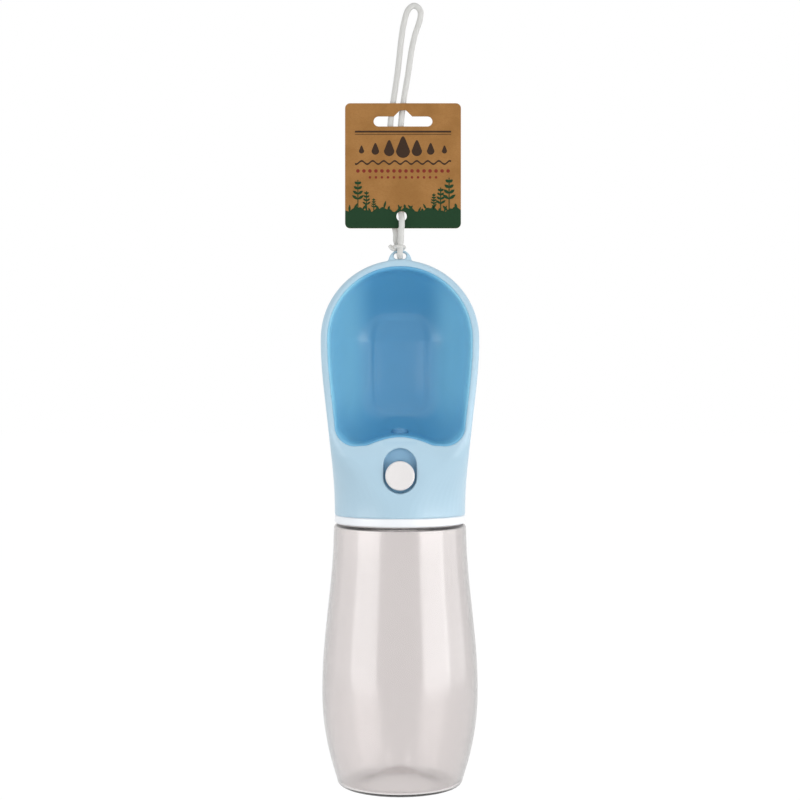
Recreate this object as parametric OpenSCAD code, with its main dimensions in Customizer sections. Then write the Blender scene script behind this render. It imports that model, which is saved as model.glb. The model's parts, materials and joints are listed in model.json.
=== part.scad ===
// Travel water bottle for dogs: a clear bottle screwed into a head whose drinking
// trough is filled through a push valve. It hangs by the cord in its top eyelet.
// Millimetres, +Z up, front (trough and button) towards -Y, origin inside the cord's top bend.

/* [Bottle] */
// Height of the bottle from its standing ring to its shoulder
bottle_h = 131.6; // [115:0.1:150]
// Radius at the shoulder, just under the white collar
shoulder_r = 33.5; // [32.5:0.1:34.5]
// Largest radius of the belly
belly_r = 39.4; // [38:0.1:42]
// Height of the belly above the standing ring
belly_z = 47; // [40:1:55]
// Radius at the foot, where the belly curve ends
foot_r = 30.8; // [30:0.1:32]
// Wall thickness of the bottle
bottle_wall = 1.6; // [1.2:0.1:2]
// Rounding of the bottle's foot
foot_round = 3; // [2:0.1:4]
// Rounding of the bottle's shoulder edge
shoulder_round = 2; // [1:0.1:2.5]
// Radius of the push-up under the bottle
punt_r = 23; // [20:0.5:24]
// Height of the push-up under the bottle
punt_h = 7; // [5:0.5:9]
// Outside radius of the neck, at the root of its thread
neck_r = 24.6; // [24:0.1:25]
// Wall thickness of the neck
neck_wall = 2.2; // [1.8:0.1:2.6]
// Height of the neck above the shoulder
neck_h = 12; // [11:0.5:12.5]

/* [Collar] */
// Radius of the white collar's visible band
band_r = 33; // [32.6:0.1:33.4]
// Height of the white collar's visible band
band_h = 4.2; // [3.6:0.1:5]
// Gap between the band and the bottle's shoulder
band_gap = 0.4; // [0.3:0.05:0.6]
// Room left for the two threads between neck and collar
thread_room = 1.5; // [1.3:0.1:1.6]
// Wall of the collar's threaded skirt
collar_wall = 2.1; // [1.8:0.1:2.3]
// Thickness of the collar's top disc
collar_top = 2; // [1.6:0.1:2.4]
// Height of the spigot that centres the collar in the shell
spigot_h = 5; // [4:0.5:7]
// Thickness of the flat gasket on the bottle's lip
gasket_t = 1.4; // [1:0.1:1.8]

/* [Head] */
// Height of the head from the collar to the top of its arch
head_h = 127.9; // [124:0.1:136]
// Half width of the head where it meets the collar
head_foot_w = 33; // [32.6:0.1:33.4]
// Half width of the head at its widest, also the radius of its arch
head_w = 39.3; // [38:0.1:41]
// Depth from rim to back at the widest height
head_depth = 52; // [50:0.5:56]
// Depth of the head at the tip of its arch
tip_depth = 6.5; // [6:0.5:8]
// How far the rim leans back from the straight front to the tip
rim_lean = 19; // [17:0.5:21]
// Height at which the front begins to lean back
lean_z = 30; // [26:1:32]
// Wall thickness of the outer shell
shell_wall = 2.2; // [2:0.1:2.4]
// Rounding of the rim's outer edge
rim_round = 3.2; // [3:0.1:3.4]
// Width of the pale rim beside the trough
rim_w = 3.4; // [3.2:0.1:4]
// Width of the straight flank behind the rim
flank = 14; // [12:0.5:16]
// Height at which the front has become flat
flat_z = 46; // [42:1:48]

/* [Trough] */
// Height of the trough's bottom edge beside the button
trough_z = 35.4; // [35:0.1:38]
// Rise of the edge over the button
hump_h = 4.4; // [3:0.1:5]
// Half width of that rise
hump_w = 17; // [15:0.5:19]
// Corner radius of the trough's bottom edge
trough_corner = 10; // [6:0.5:12]
// Wall thickness of the trough liner
liner_wall = 1.6; // [1.4:0.1:1.8]
// Clearance between liner and shell
liner_gap = 0.25; // [0.2:0.05:0.35]
// How far the liner's edge lies behind the rim
liner_set = 0.5; // [0.3:0.1:0.8]
// Room between the trough's deepest part and the back of the head
back_room = 10; // [8:0.5:14]
// Width of the raised pad on the trough's floor
pad_w = 32.5; // [30:0.5:33]
// Length of the raised pad
pad_l = 53.5; // [49:0.5:54]
// Height of the pad's middle, as a share of the trough's length
pad_share = 0.44; // [0.42:0.01:0.46]
// How far the pad stands up from the floor
pad_h = 1.4; // [1:0.1:2]

/* [Eyelet] */
// Outside radius of the eyelet
eyelet_r = 5.8; // [5.4:0.1:6.4]
// Width of the eyelet's hole
eyelet_hole_w = 6.4; // [6:0.1:7]
// Height of the eyelet's hole
eyelet_hole_h = 3.2; // [3.1:0.05:3.4]
// Thickness of the eyelet, front to back
eyelet_t = 4.4; // [4:0.1:4.6]
// Material over the hole
eyelet_bar = 1.5; // [1.3:0.1:1.8]

/* [Button] */
// Diameter of the round push button
button_d = 14.3; // [14:0.1:14.8]
// How far the button stands out of the front
button_out = 2; // [1.6:0.1:2.4]
// Thickness of the button's cap
button_t = 2.4; // [2:0.1:2.6]
// Height of the button above the collar
button_z = 21.1; // [20.5:0.1:21.5]
// Travel of the button when it is pressed
press_travel = 2.6; // [2:0.1:2.8]
// Travel of the lock slider
lock_travel = 4.5; // [3.5:0.1:5]
// Gap between the button and either end of its recess
recess_end_gap = 1.6; // [1.2:0.1:2]
// Gap between the button and the sides of its recess
recess_side_gap = 0.9; // [0.6:0.1:1.2]
// Depth of the recess
recess_depth = 3.6; // [3.4:0.1:3.8]
// Thickness of the recess floor
recess_floor = 1.5; // [1.3:0.1:1.8]
// Radius of the button's shank
shank_r = 2.4; // [2.2:0.05:2.5]
// Width of the lock slider
slider_w = 18; // [16:0.5:19]
// Height of the lock slider's top edge above the button's axis
slider_up = 9; // [8.5:0.1:9.5]
// Thickness of the lock slider
slider_t = 2; // [1.6:0.1:2.2]

/* [Valve] */
// Radius of the valve stem
stem_r = 2; // [1.8:0.05:2.2]
// Radial clearance of the stem and the shank in their guides
guide_gap = 0.05; // [0.03:0.01:0.08]
// Bore radius of the valve chamber
chamber_r = 5.5; // [5.2:0.1:5.8]
// Wall thickness of the valve chamber
chamber_wall = 2.5; // [2:0.1:2.6]
// Bore radius of the valve seat
seat_r = 3.4; // [3.2:0.1:3.6]
// Length of the front chamber, where the outlet leaves
front_chamber = 7.5; // [7:0.5:8]
// Length of the rear chamber, where the inlet enters
rear_chamber = 10; // [9.5:0.5:11]
// Bore radius of the inlet tube
inlet_r = 4; // [3.6:0.1:4.2]
// Wall of the inlet tube
inlet_wall = 1.6; // [1.4:0.1:1.8]
// Bore radius of the outlet tube
outlet_r = 2; // [1.8:0.1:2.4]
// Wall of the outlet tube
outlet_wall = 1.2; // [1:0.1:1.5]
// Wire radius of the return spring
wire_r = 0.4; // [0.35:0.05:0.5]
// Mean radius of the return spring
spring_r = 3.6; // [3.4:0.1:4.2]
// Number of turns of the return spring
spring_turns = 5; // [4:1:6]

/* [Cord and tag] */
// Diameter of the braided cord
cord_d = 2.8; // [2.4:0.1:3]
// Width of the hang tag
tag_w = 57.8; // [52:0.1:64]
// Height of the hang tag
tag_h = 62.4; // [56:0.1:70]
// Thickness of the hang tag
tag_t = 0.8; // [0.6:0.1:1]
// Corner radius of the hang tag
tag_corner = 2.5; // [1:0.5:4]
// Width of the tag's hanger slot
slot_w = 29.4; // [26:0.1:32]
// Height of the tag's hanger slot
slot_h = 5.1; // [4.6:0.1:6]
// Rise of the slot's middle peak
slot_peak = 3.1; // [2:0.1:4]
// Radius of the tag's lower hole, which one strand passes through
tag_hole_r = 3; // [3:0.1:3.4]

/* [Hidden] */

$fn = 64;
tiny = 0.01;          // overlap that joins two solids of one piece
past = 2;             // how far a cutter reaches past what it cuts
seat_gap = 0.05;      // gap between two flat faces that seat on each other
run_gap = 0.3;        // gap between faces that slide past each other

// Where the hanging head lies under the cord's top bend
eye = [-7, -1, -124.1];            // middle of the eyelet's hole
eyelet_y = -11;                   // eyelet behind the bottle's axis plane, in the head's own frame
eyelet_foot = 0.3;                // skin of the arch left under the eyelet's hole
eye_z = head_h + eyelet_foot + eyelet_hole_h / 2;
head_at = [eye[0], eye[1] - eyelet_y, eye[2] - eye_z];

// Collar and neck, heights in the head's frame, whose zero is the shell's foot
shoulder_z = -band_h - band_gap;
lip_z = shoulder_z + neck_h;
disc_z = lip_z + 2 * seat_gap + gasket_t;
deck_z = disc_z + collar_top;
collar_r = neck_r + thread_room;
skirt_r = collar_r + collar_wall;

// Head
arch_z = head_h - head_w;
front_y = -head_foot_w;
widen = 1.3;                      // how late the head widens on its way up
foot_flat = 0.6;                  // flat left beside the foot's round front corners
section_corner = 6;               // points on a section's front corner
section_back = 20;                // points along a section's back
rise_rings = 17;                  // sections up to the arch
arch_rings = 9;                   // sections of the arch
arch_end = 86;                    // last angle of the arch before its flat tip

function ease(t) = (1 - cos(180 * min(max(t, 0), 1))) / 2;
function arch_cos(z) = z <= arch_z ? 1 : sqrt(max(0, 1 - pow((z - arch_z) / head_w, 2)));
function half_w(z) = z <= arch_z
    ? head_foot_w + (head_w - head_foot_w) * ease(pow(max(z, 0) / arch_z, widen))
    : head_w * arch_cos(z);
function rim_y(z) = front_y + rim_lean * max(0, z - lean_z) / (head_h - lean_z);
function arch_back() = rim_y(arch_z) + head_depth;
function back_y(z) = z <= arch_z
    ? head_foot_w + (arch_back() - head_foot_w) * ease(z / arch_z)
    : arch_back() * arch_cos(z) + (rim_y(z) + tip_depth) * (1 - arch_cos(z));
function depth(z) = back_y(z) - rim_y(z);
function front_part(z) = min(
    head_foot_w + (flank - head_foot_w) * ease(z / flat_z),
    depth(z) * 0.5
);
function corner(z) = min(
    head_foot_w - foot_flat + (rim_round - head_foot_w + foot_flat) * ease(z / flat_z),
    half_w(z) * 0.8,
    front_part(z) - foot_flat
);

// One level section of the head, moved in by a wall
function section(z, wall) = let(
        a = half_w(z) - wall,
        yf = rim_y(z) + wall,
        yb = rim_y(z) + depth(z) - wall,
        yc = rim_y(z) + front_part(z),
        c = max(min(corner(z) - wall, a * 0.8), 0.4)
    ) concat(
        [for (i = [0:section_corner]) let(t = 90 * i / section_corner)
            [a - c + c * sin(t), yf + c - c * cos(t), z]],
        [for (i = [0:section_back]) let(t = 180 * i / section_back)
            [a * cos(t), yc + (yb - yc) * sin(t), z]],
        [for (i = [0:section_corner]) let(t = 90 * i / section_corner)
            [c - a - c * cos(t), yf + c - c * sin(t), z]]
    );

// Levels of the sections: even up to the arch, then by angle round it
function levels(top) = concat(
    [for (i = [0:rise_rings]) arch_z * i / rise_rings],
    [for (i = [1:arch_rings]) arch_z + top * sin(arch_end * i / arch_rings)]
);

// The two triangles of a four-sided face
function halves(a, b, c, d) = [[a, b, c], [a, c, d]];

// The middle of a ring of points
function middle(ring) = [for (p = ring) 1] * ring / len(ring);

// A closed skin between two stacks of rings, open at the foot
module cup(outer, inner) {
    n = len(outer[0]);
    m = len(outer);
    all = concat(
        [for (ring = outer) for (p = ring) p],
        [for (ring = inner) for (p = ring) p],
        [middle(outer[m - 1]), middle(inner[m - 1])]
    );
    inside = n * m;
    sides = [for (j = [0:m - 2]) for (i = [0:n - 1]) let(k = (i + 1) % n)
        each halves(j * n + i, (j + 1) * n + i, (j + 1) * n + k, j * n + k)];
    lining = [for (j = [0:m - 2]) for (i = [0:n - 1]) let(k = (i + 1) % n)
        each halves(inside + j * n + i, inside + j * n + k,
            inside + (j + 1) * n + k, inside + (j + 1) * n + i)];
    foot = [for (i = [0:n - 1]) let(k = (i + 1) % n)
        each halves(i, k, inside + k, inside + i)];
    top = (m - 1) * n;
    crown = [for (i = [0:n - 1]) [2 * inside, top + (i + 1) % n, top + i]];
    ceiling = [for (i = [0:n - 1])
        [2 * inside + 1, inside + top + i, inside + top + (i + 1) % n]];
    polyhedron(all, concat(sides, lining, foot, crown, ceiling), convexity = 6);
}

// Outline of the trough's mouth in the front view, as [x, z], moved in by inset
mouth_side = 10;                  // points up each side
mouth_arch = 28;                  // points round the arch
mouth_bend = 6;                   // points round a bottom corner
mouth_hump = 12;                  // points over the hump
function mouth(inset, r = trough_corner, rise = hump_h) = let(
        z0 = trough_z + inset,
        z1 = z0 + r,
        w = function(z) half_w(z) - rim_w - inset,
        flat_x = w(z1) - r,
        rise_w = min(hump_w, flat_x - 0.5),
        arc_r = head_w - rim_w - inset
    ) concat(
        [for (i = [0:mouth_bend]) let(t = 90 * i / mouth_bend)
            [flat_x + r * sin(t), z1 - r * cos(t)]],
        [for (i = [1:mouth_side]) let(z = z1 + (arch_z - z1) * i / mouth_side) [w(z), z]],
        [for (i = [1:mouth_arch - 1]) let(t = 180 * i / mouth_arch)
            [arc_r * cos(t), arch_z + arc_r * sin(t)]],
        [for (i = [0:mouth_side - 1]) let(z = arch_z + (z1 - arch_z) * i / mouth_side)
            [-w(z), z]],
        [for (i = [0:mouth_bend]) let(t = 90 * i / mouth_bend)
            [-flat_x - r * cos(t), z1 - r * sin(t)]],
        [for (i = [1:mouth_hump - 1]) let(u = 2 * i / mouth_hump - 1)
            [rise_w * u, z0 + rise * cos(90 * u)]]
    );

// The trough's bowl: the mouth drawn in towards a middle point, and rounder, with depth
bowl_mid = trough_z + pad_share * (head_h - trough_z);
trough_depth = head_depth - back_room;
bowl_power = 3;
bowl_rings = 11;
bowl_end = 88;                    // last angle of the bowl before its flat middle
corner_grow = 12;                 // how much rounder the bottom corners get
function bowl_k(t) = pow(1 - pow(t, bowl_power), 1 / bowl_power);
function bowl_mouth(inset, t) = mouth(inset, trough_corner + corner_grow * t, hump_h * (1 - t));
function bowl_y(z, deep, t) = rim_y(z) + liner_set + deep * t * min(1, depth(z) / head_depth);
function bowl_ring(inset, deep, t) = [
    for (p = bowl_mouth(inset, t)) let(z = bowl_mid + (p[1] - bowl_mid) * bowl_k(t))
        [-p[0] * bowl_k(t), bowl_y(z, deep, t), z]
];
function bowl(inset, deep, last) = [
    for (j = [0:last]) bowl_ring(inset, deep, sin(bowl_end * j / bowl_rings))
];

lined = liner_gap + liner_wall;
floor_mouth = [for (p = bowl_mouth(lined, 1)) [p[0], p[1] - bowl_mid]];

// The raised pad: rings in the directions of the mouth's points, laid on the floor
pad_power = 5;                    // squareness of the pad's outline
pad_slope = 4.2;                  // width of the pad's soft edge
pad_from = 6;                     // last ring of the bowl before the pad begins
function pad_ring(inset, scale, lift) = [for (q = floor_mouth) let(
        long = norm(q),
        r = scale / pow(pow(abs(q[0]) / long / (pad_w / 2 - inset), pad_power)
            + pow(abs(q[1]) / long / (pad_l / 2 - inset), pad_power), 1 / pad_power),
        k = r / long,
        t = pow(1 - pow(k, bowl_power), 1 / bowl_power)
    ) [-q[0] * k, bowl_y(bowl_mid + q[1] * k, trough_depth, t) - lift, bowl_mid + q[1] * k]];

// Where the outlet comes up through the trough's bottom
outlet_y = -front_chamber / 2;
outlet_t = (outlet_y - rim_y(trough_z) - liner_set) / trough_depth;
outlet_z = bowl_mid + bowl_k(outlet_t)
    * (trough_z + hump_h * (1 - outlet_t) + lined - bowl_mid);
tube_out = 0.6;                   // how far the outlet tube stands over the trough's bottom
grommet_h = 5;
grommet_wall = 0.9;

// Button, recess and slider, front to back
face_y = front_y;
recess_y = face_y + recess_depth;
floor_back_y = recess_y + recess_floor;
plate_y = floor_back_y + run_gap;
hub_y = plate_y + slider_t;
hub_l = 3.6;
hub_r = 4.2;
cap_y = face_y - button_out;
cap_back_y = cap_y + button_t;
recess_r = button_d / 2 + recess_side_gap;
recess_low = button_z - button_d / 2 - recess_end_gap;
recess_high = button_z + lock_travel + button_d / 2 + recess_end_gap;
rail_lip = 0.8;
rail_t = 2.2;
rail_low = deck_z + run_gap;
slider_low = rail_low + run_gap;
slider_high = button_z + slider_up;
rail_high = slider_high + lock_travel + run_gap;
clip_y = hub_y + hub_l + run_gap;
clip_t = 0.8;
clip_r = 3.6;
clip_groove = 0.5;
shank_tail = 0.6;                 // shank behind the clip
shank_play = 0.2;                 // room round the shank in the recess's slot
shank_end_y = clip_y + clip_t + shank_tail;

// Valve, front to back; zero is the front chamber's rear wall
push_plate_y = shank_end_y + run_gap;
push_plate_t = 1.5;
push_plate_r = 6.9;
gland_t = 2.5;
gland_y = -front_chamber - gland_t;
o_ring_r = 0.85;
seat_wall = 2;
seat_t = 1.2;
washer_t = 1.6;
washer_r = 4.9;
body_r = chamber_r + chamber_wall;
rear_y = seat_wall + rear_chamber;
plug_in = 2.5;
plug_end = 1;
stem_end_y = rear_y - 1;
plug_bore_y = stem_end_y + press_travel + run_gap;
washer_y = seat_wall + seat_t + seat_gap;
poppet_y = washer_y + washer_t;
poppet_t = 1.5;
inlet_y = rear_y - inlet_r - inlet_wall - 0.2;
inlet_end_z = disc_z - 1.5;
port_r = inlet_r + inlet_wall + 2;
pedestal_r = 11;
pedestal_t = 1.8;
web_w = 8;

// Cord: the route is chosen by hand, from the knot up the left strand and down the right
cord_route = [
    [-9, 0.3, -114.6], [-9, 0.3, -113.8], [-9, 0.3, -113], [-9.6, 0.2, -109.8],
    [-10.4, 0.1, -105.4], [-11.1, 0, -99.5], [-11.8, 0, -90.5], [-12.3, 0, -79],
    [-12.3, 0, -67], [-11.6, 0, -55.5], [-9.9, 0, -43.5], [-8.4, 0, -33.5],
    [-7.4, 0, -25], [-6.5, 0, -16.5], [-5.4, 0, -9], [-3.8, 0, -2.6],
    [-2.2, 0, 0.2], [0, 0, 1.4], [2.1, 0, 0.4], [3.3, 0, -1.8],
    [3.1, 0, -5], [2, 0, -8.8], [0.3, 0, -14], [-1.4, 0, -22],
    [-3, 0, -33], [-5, 0, -45], [-6.5, 0, -57.5], [-7.2, 0, -71],
    [-7, 0, -84.5], [-6.7, 0.1, -93], [-6.5, 0.2, -98], [-6.4, -0.2, -101],
    [-6.3, -1.2, -103.2], [-6.2, -2.8, -104.9], [-6.1, -4.1, -106.8], [-6.1, -4.4, -109.2],
    [-6.4, -4.1, -111.3], [-6.5, -3.9, -113], [-6.5, -3.9, -113.8], [-6.5, -3.9, -114.6],
];
knot_route = [
    [-6.5, -3.9, -114.6], [-6.5, -3.9, -115.4], [-6.5, -3.9, -116.2], [-6.7, -3.8, -118.7],
    [-6.9, -4.7, -120.9], [-7, -5, -122.9], [-7, -3.6, -124.2], [-7, -1, -124.2],
    [-7, 1.6, -124.2], [-7.2, 3, -122.9], [-7.6, 2.9, -120.9], [-8.3, 1.4, -118.5],
    [-9, 0.3, -116.2], [-9, 0.3, -115.4], [-9, 0.3, -114.6],
];
tail_route = [
    [-8.6, -3.2, -119.9], [-9.6, -3.8, -120.9], [-10.9, -3.8, -120.6], [-12.2, -3.6, -119],
];
cord_sides = 8;
wrap_r = 0.9;
wrap_at = [-7.6, -0.9, -119.7];
wrap_w = 2.7;
wrap_d = 4.4;
wrap_steps = 16;

// Tag: its plane lies in front of the two strands
tag_at = [-5.5, -1.8, -79.1];
tag_hole_at = [-6.2, -104.3];
slot_from_top = 6.5 + slot_h / 2;

function unit(v) = v / norm(v);
function tangent(path, i) = unit(path[min(i + 1, len(path) - 1)] - path[max(i - 1, 0)]);

// A point between b and c on a smooth curve through a, b, c and d
function between(a, b, c, d, t) = 0.5 * (2 * b + (c - a) * t
    + (2 * a - 5 * b + 4 * c - d) * t * t + (3 * b - a - 3 * c + d) * t * t * t);
function smooth(path, steps) = let(last = len(path) - 1) concat(
    [for (i = [0:last - 1]) for (s = [0:steps - 1])
        between(path[max(i - 1, 0)], path[i], path[i + 1], path[min(i + 2, last)], s / steps)],
    [path[last]]
);

// A round tube along a path; across is a direction that the path never follows
module tube(path, r, sides, across, closed = false) {
    n = len(path);
    rings = [for (i = [0:n - 1]) let(
            t = closed ? unit(path[(i + 1) % n] - path[(i + n - 1) % n]) : tangent(path, i),
            u = unit(cross(t, across)),
            v = cross(u, t)
        ) for (s = [0:sides - 1]) let(a = 360 * s / sides)
            path[i] + r * (cos(a) * u + sin(a) * v)];
    steps = closed ? n - 1 : n - 2;
    skin = [for (i = [0:steps]) for (s = [0:sides - 1]) let(
            j = ((i + 1) % n) * sides,
            k = (s + 1) % sides
        ) each halves(i * sides + s, i * sides + k, j + k, j + s)];
    ends = closed ? [] : [
        [for (s = [0:sides - 1]) sides - 1 - s],
        [for (s = [0:sides - 1]) (n - 1) * sides + s],
    ];
    polyhedron(rings, concat(skin, ends), convexity = 8);
}

// A ring of square section round Z
module ring(r_in, r_out, h) {
    rotate_extrude() translate([r_in, 0]) square([r_out - r_in, h]);
}

// A torus round Z
module o_ring(r_mid, r) {
    rotate_extrude() translate([r_mid, 0]) circle(r, $fn = 32);
}

// Moves what is drawn along +Z so that it lies along +Y from y, at the button's height
module along_y(y) {
    translate([0, y, button_z]) rotate([-90, 0, 0]) children();
}

// A bar with round ends standing along Z in the front view, cut from y0 to y1
module oblong(r, z_low, z_high, y0, y1) {
    translate([0, y1, 0]) rotate([90, 0, 0]) linear_extrude(y1 - y0) {
        translate([0, z_low + r]) circle(r);
        translate([0, z_high - r]) circle(r);
        translate([-r, z_low + r]) square([2 * r, z_high - z_low - 2 * r]);
    }
}

// A rectangle with round corners, centred
module round_rect(w, h, r) {
    square([w - 2 * r, h], center = true);
    square([w, h - 2 * r], center = true);
    for (x = [-1, 1]) for (y = [-1, 1])
        translate([x * (w / 2 - r), y * (h / 2 - r)]) circle(r);
}

// Outer radius of the bottle at a height above its standing ring
function bottle_r(h) = h < belly_z
    ? belly_r - (belly_r - foot_r) * pow((belly_z - h) / belly_z, 2)
    : shoulder_r + (belly_r - shoulder_r) * (1 + cos(180 * (h - belly_z) / (bottle_h - belly_z))) / 2;

bottle_steps = 30;                // points along the bottle's side
punt_steps = 8;                   // points along the push-up
bend_steps = 5;                   // points round a small bend
function bend(c, r, from, to) = [for (i = [0:bend_steps]) let(t = from + (to - from) * i / bend_steps)
    [c[0] + r * cos(t), c[1] + r * sin(t)]];
function side(low, high, wall) = [for (i = [0:bottle_steps]) let(h = low + (high - low) * i / bottle_steps)
    [bottle_r(h) - wall, h]];
function punt(r, h, lift) = [for (i = [0:punt_steps]) let(x = r * i / punt_steps)
    [x, lift + h * (1 + cos(180 * x / r)) / 2]];

module bottle() {
    foot_in = bottle_r(foot_round) - foot_round;
    top_in = bottle_r(bottle_h - shoulder_round) - shoulder_round;
    inner_r = max(foot_round - bottle_wall, 0.6);
    inner_foot = bottle_r(foot_round) - bottle_wall - inner_r;
    inner_top = bottle_h - bottle_wall;
    outside = concat(
        punt(punt_r, punt_h, 0),
        bend([foot_in, foot_round], foot_round, -90, 0),
        side(foot_round + 1, bottle_h - shoulder_round - 1, 0),
        bend([top_in, bottle_h - shoulder_round], shoulder_round, 0, 90),
        [[neck_r, bottle_h], [neck_r, bottle_h + neck_h]]
    );
    inside = concat(
        punt(punt_r, punt_h, bottle_wall),
        bend([inner_foot, bottle_wall + inner_r], inner_r, -90, 0),
        side(foot_round + 1, bottle_h - shoulder_round - 1, bottle_wall),
        bend([top_in, bottle_h - shoulder_round], shoulder_round - bottle_wall, 0, 90),
        [[neck_r - neck_wall, inner_top], [neck_r - neck_wall, bottle_h + neck_h]]
    );
    color([0.86, 0.88, 0.9, 0.4])
        translate(head_at + [0, 0, shoulder_z - bottle_h])
            rotate_extrude($fn = 96)
                polygon(concat(outside, [for (i = [len(inside) - 1:-1:0]) inside[i]]));
}

module bottle_gasket() {
    color("whitesmoke")
        translate(head_at + [0, 0, lip_z + seat_gap])
            ring(neck_r - neck_wall, neck_r - 0.2, gasket_t);
}

module inner_cap() {
    chamfer = 0.5;
    ribs = 16;
    rib_w = 1.4;
    rib_out = 1.2;
    spigot_r = head_foot_w - shell_wall - 0.5;
    color("white") translate(head_at) difference() {
        union() {
            rotate_extrude($fn = 96) polygon([
                [collar_r, -band_h], [band_r - chamfer, -band_h], [band_r, chamfer - band_h],
                [band_r, -chamfer], [band_r - chamfer, 0], [spigot_r, 0],
                [spigot_r, spigot_h - chamfer], [spigot_r - chamfer, spigot_h],
                [skirt_r, spigot_h], [skirt_r, deck_z], [0, deck_z], [0, disc_z],
                [collar_r, disc_z],
            ]);
            for (i = [0:ribs - 1])
                rotate([0, 0, 360 * (i + 0.5) / ribs])
                    translate([skirt_r - tiny, -rib_w / 2, spigot_h - tiny])
                        cube([rib_out, rib_w, deck_z - spigot_h - chamfer]);
        }
        translate([0, inlet_y, disc_z - past]) cylinder(r = port_r, h = collar_top + 2 * past);
    }
}

module eyelet() {
    centre_z = eye_z + eyelet_hole_h / 2 + eyelet_bar - eyelet_r;
    low_z = head_h - rim_w + 0.5;
    translate([0, eyelet_y + eyelet_t / 2, 0]) rotate([90, 0, 0]) linear_extrude(eyelet_t)
        difference() {
            translate([0, centre_z]) circle(eyelet_r);
            translate([-2 * eyelet_r, low_z - 2 * eyelet_r])
                square([4 * eyelet_r, 2 * eyelet_r]);
        }
}

module eyelet_hole() {
    r = eyelet_hole_h / 2;
    translate([0, eyelet_y + eyelet_t, 0]) rotate([90, 0, 0]) linear_extrude(2 * eyelet_t) {
        for (x = [-1, 1]) translate([x * (eyelet_hole_w / 2 - r), eye_z]) circle(r);
        translate([0, eye_z]) square([eyelet_hole_w - 2 * r, 2 * r], center = true);
    }
}

// Rails behind the recess that hold the lock slider
module rail() {
    x = slider_w / 2 + run_gap;
    back = hub_y + run_gap + rail_t / 2;
    translate([x, floor_back_y - tiny, rail_low])
        cube([rail_t, back - floor_back_y, rail_high - rail_low]);
    translate([x - rail_lip - run_gap, hub_y + run_gap, rail_low])
        cube([rail_lip + run_gap + tiny, rail_t / 2, rail_high - rail_low]);
}

module head_shell() {
    block_w = slider_w + 2 * (run_gap + rail_t);
    block_y = face_y + 0.9 * shell_wall;
    slot_r = shank_r + shank_play;
    color("lightblue") translate(head_at) difference() {
        union() {
            cup(
                [for (z = levels(head_w)) section(z, 0)],
                [for (z = levels(head_w - shell_wall)) section(z, shell_wall)]
            );
            translate([-block_w / 2, block_y, rail_low])
                cube([block_w, floor_back_y - block_y, rail_high - rail_low]);
            rail();
            mirror([1, 0, 0]) rail();
            eyelet();
        }
        translate([0, rim_y(head_h) + 2 * shell_wall, 0]) rotate([90, 0, 0])
            linear_extrude(rim_lean + 4 * shell_wall) polygon(mouth(0));
        oblong(recess_r, recess_low, recess_high, face_y - past, recess_y);
        oblong(slot_r, button_z - slot_r, button_z + lock_travel + slot_r,
            recess_y - tiny, floor_back_y + past);
        eyelet_hole();
    }
}

module trough_liner() {
    outer = bowl(liner_gap, trough_depth + liner_wall, bowl_rings);
    inner = concat(
        bowl(lined, trough_depth, pad_from),
        [
            pad_ring(0, 1, 0), pad_ring(pad_slope / 2, 1, pad_h / 2),
            pad_ring(pad_slope, 1, pad_h),
            pad_ring(pad_slope, 0.5, pad_h), pad_ring(pad_slope, 0.08, pad_h),
        ]
    );
    color("steelblue") translate(head_at) difference() {
        cup(outer, inner);
        translate([0, outlet_y, outlet_z - 2 * grommet_h])
            cylinder(r = outlet_r + outlet_wall + grommet_wall, h = 3 * grommet_h);
    }
}

module valve_body() {
    color("gainsboro") translate(head_at) difference() {
        union() {
            along_y(gland_y) cylinder(r = body_r, h = rear_y - gland_y);
            translate([0, inlet_y / 2, deck_z]) cylinder(r = pedestal_r, h = pedestal_t);
            translate([-web_w / 2, gland_y + 1, deck_z])
                cube([web_w, rear_y - gland_y - 1, button_z - chamber_r - deck_z]);
            translate([0, inlet_y, inlet_end_z])
                cylinder(r = inlet_r + inlet_wall, h = button_z - inlet_end_z);
            translate([0, outlet_y, button_z])
                cylinder(r = outlet_r + outlet_wall, h = outlet_z + tube_out - button_z);
        }
        along_y(gland_y - past) cylinder(r = stem_r + guide_gap, h = past + gland_t + past);
        along_y(gland_y - past)
            cylinder(r = stem_r + 2.2 * o_ring_r, h = past + 2.1 * o_ring_r);
        along_y(-front_chamber) cylinder(r = chamber_r, h = front_chamber);
        along_y(-past) cylinder(r = seat_r, h = seat_wall + 2 * past);
        along_y(seat_wall) cylinder(r = chamber_r, h = rear_chamber + past);
        translate([0, inlet_y, inlet_end_z - past])
            cylinder(r = inlet_r, h = button_z - inlet_end_z + past);
        translate([0, outlet_y, button_z])
            cylinder(r = outlet_r, h = outlet_z + past - button_z);
    }
}

module spout_seal() {
    color("dimgray") translate(head_at + [0, inlet_y, disc_z + 0.1])
        ring(inlet_r + inlet_wall + seat_gap, port_r - seat_gap, collar_top - 0.2);
}

module valve_seat() {
    color("dimgray") translate(head_at) along_y(seat_wall + tiny)
        ring(seat_r, chamber_r - seat_gap, seat_t - tiny);
}

module valve_stem() {
    color("white") translate(head_at) union() {
        along_y(push_plate_y) cylinder(r = push_plate_r, h = push_plate_t);
        along_y(push_plate_y) cylinder(r = stem_r, h = stem_end_y - push_plate_y);
        along_y(poppet_y) cylinder(r = washer_r, h = poppet_t);
    }
}

module poppet_washer() {
    color("dimgray") translate(head_at) along_y(washer_y)
        ring(stem_r + seat_gap, washer_r, washer_t - seat_gap);
}

module stem_o_ring() {
    color("dimgray") translate(head_at)
        along_y(gland_y + 1.05 * o_ring_r) o_ring(stem_r + 1.1 * o_ring_r, o_ring_r);
}

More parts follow.
